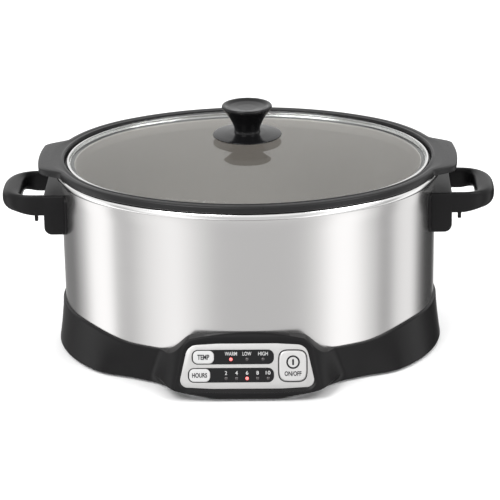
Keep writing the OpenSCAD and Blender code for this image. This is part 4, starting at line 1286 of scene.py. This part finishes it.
@dataclass
class Studio:
    """Plain pale floor, soft surroundings and the camera."""

    plan: OvalPlan
    azimuth: float = 1.25
    elevation: float = 20.0
    distance: float = 2.6
    roll: float = 0.85
    lens: float = 202.4
    aim: tuple[float, float, float] = (0.9, 0.0, 83.0)
    floor_size: float = 40.0
    # Brightness of the surroundings below the horizon, by direction in degrees:
    # nought faces the console, and right is positive
    bands: tuple[tuple[float, float], ...] = field(default=(
        (-180, 0.8), (-168, 0.7), (-158, 0.28), (-130, 0.22), (-112, 0.75), (-100, 1.5), (-80, 1.6),
        (-70, 0.62), (-64, 0.6), (-54, 1.15), (-38, 1.45), (-28, 1.1), (-16, 0.72), (26, 0.72), (36, 1.0),
        (44, 1.6), (56, 1.6), (64, 1.0), (74, 0.5), (82, 0.5), (92, 1.1), (112, 1.25), (122, 0.35),
        (132, 0.06), (158, 0.06), (168, 0.7),
        (180, 0.8)))

    def build(self) -> None:
        """Builds the surroundings, the floor, the lights and the camera."""
        self._build_world()
        self._build_floor()
        self._build_light("key_light", (-0.9, -1.3, 1.7), 1.1, 26.0)
        self._build_light("fill_light", (1.3, -0.9, 1.4), 0.9, 12.0)
        self._build_light("rim_light", (0.2, 1.5, 1.6), 1.2, 14.0, mirrored=False)
        self._build_camera()
        bpy.context.scene.view_settings.view_transform = "Standard"

    def _build_world(self) -> None:
        """Builds soft surroundings: even above the horizon, in broad upright bands below it."""
        world = bpy.data.worlds.new("studio")
        bpy.context.scene.world = world
        graph = Graph(world)
        spot = graph.node("ShaderNodeTexCoord", out="Generated")
        parts = [graph.node("ShaderNodeSeparateXYZ", None, {0: spot}, out=i) for i in range(3)]
        around = graph.node("ShaderNodeMath", {"operation": "ARCTAN2"}, {0: parts[0], 1: parts[1] * -1.0})
        share = around / (2 * math.pi) + 0.5
        stops = [((angle + 180) / 360, (level / 2,) * 3) for angle, level in self.bands]
        banded = graph.ramp(share, stops)
        above = graph.node("ShaderNodeMapRange", {"clamp": True},
                           {"Value": parts[2], "From Min": -0.06, "From Max": 0.12,
                            "To Min": 0.0, "To Max": 1.0})
        colour = graph.blend(above, banded, (0.5, 0.5, 0.5))
        graph.finish(graph.node("ShaderNodeBackground", None, {"Color": colour, "Strength": 2.0}))

    def _build_floor(self) -> None:
        """Builds the pale floor, which polished metal doesn't mirror."""
        size = self.floor_size / MM / 2
        corners = np.array([(-size, -size, 0), (size, -size, 0), (size, size, 0), (-size, size, 0)], float)
        floor = Solid()
        floor.points, floor.faces, floor.marks, floor.count = [corners], [(0, 1, 2, 3)], [0], 4
        paper = Moulded("floor_paper", (0.93, 0.93, 0.93), 0.9, grain=60.0, mottle=0.004)
        sheet = floor.object("floor", [paper])
        sheet.visible_glossy = False

    def _build_light(self, name: str, spot: tuple[float, float, float], size: float, watts: float,
                     mirrored: bool = True) -> None:
        """Builds a square soft light that faces the cooker and can't be seen itself."""
        lamp = bpy.data.lights.new(name, "AREA")
        lamp.size = size
        lamp.energy = watts
        obj = bpy.data.objects.new(name, lamp)
        obj.location = spot
        obj.rotation_euler = (Vector((0, 0, 0.1)) - Vector(spot)).to_track_quat("-Z", "Y").to_euler()
        obj.visible_camera = False
        obj.visible_glossy = mirrored
        bpy.context.scene.collection.objects.link(obj)

    def _build_camera(self) -> None:
        """Builds a long-lens camera that looks slightly down at the front."""
        az, el = math.radians(self.azimuth), math.radians(self.elevation)
        back = Vector((math.sin(az) * math.cos(el), -math.cos(az) * math.cos(el), math.sin(el)))
        target = Vector((0.0, self.plan.middle_y * MM, 0.1))
        eye = target + back * self.distance
        aim = Vector(self.aim) * MM + Vector((0, self.plan.middle_y * MM, 0))
        data = bpy.data.cameras.new("camera")
        data.lens = self.lens
        data.sensor_width = 36.0
        data.clip_start, data.clip_end = 0.1, 100.0
        camera = bpy.data.objects.new("camera", data)
        camera.location = eye
        turn = (aim - eye).to_track_quat("-Z", "Y").to_matrix().to_4x4()
        camera.rotation_euler = (turn @ Matrix.Rotation(math.radians(-self.roll), 4, "Z")).to_euler()
        bpy.context.scene.collection.objects.link(camera)
        bpy.context.scene.camera = camera


# --- The whole cooker ------------------------------------------------------------------------------


def dress_inner_parts() -> None:
    """Gives every CAD node that still shows the material of its slot."""
    for row in frame["record"]["subparts"]:
        node = frame["nodes"][row["node"]]
        if node.hide_render:
            continue
        node.data.materials.clear()
        node.data.materials.append(SLOT_FINISHES[row["material_slot"]].material())
        log.info("%s takes the finish %s", row["node"], row["material_slot"])


def main() -> None:
    """Builds the cooker and the studio round it."""
    logging.basicConfig(level=logging.INFO, format="%(message)s")
    low, high = node_box("cooking_pot")
    plan = OvalPlan(float(low[1] + high[1]) / 2)
    studio = Studio(plan)
    housing = Housing(plan)
    studio.build()
    housing.build()
    Base(plan, housing).build()
    SideHandle(plan, housing, "left_handle", -1).build()
    SideHandle(plan, housing, "right_handle", 1).build()
    Pot(plan).build()
    Lid(plan).build()
    dress_inner_parts()


if __name__ == "__main__":
    main()
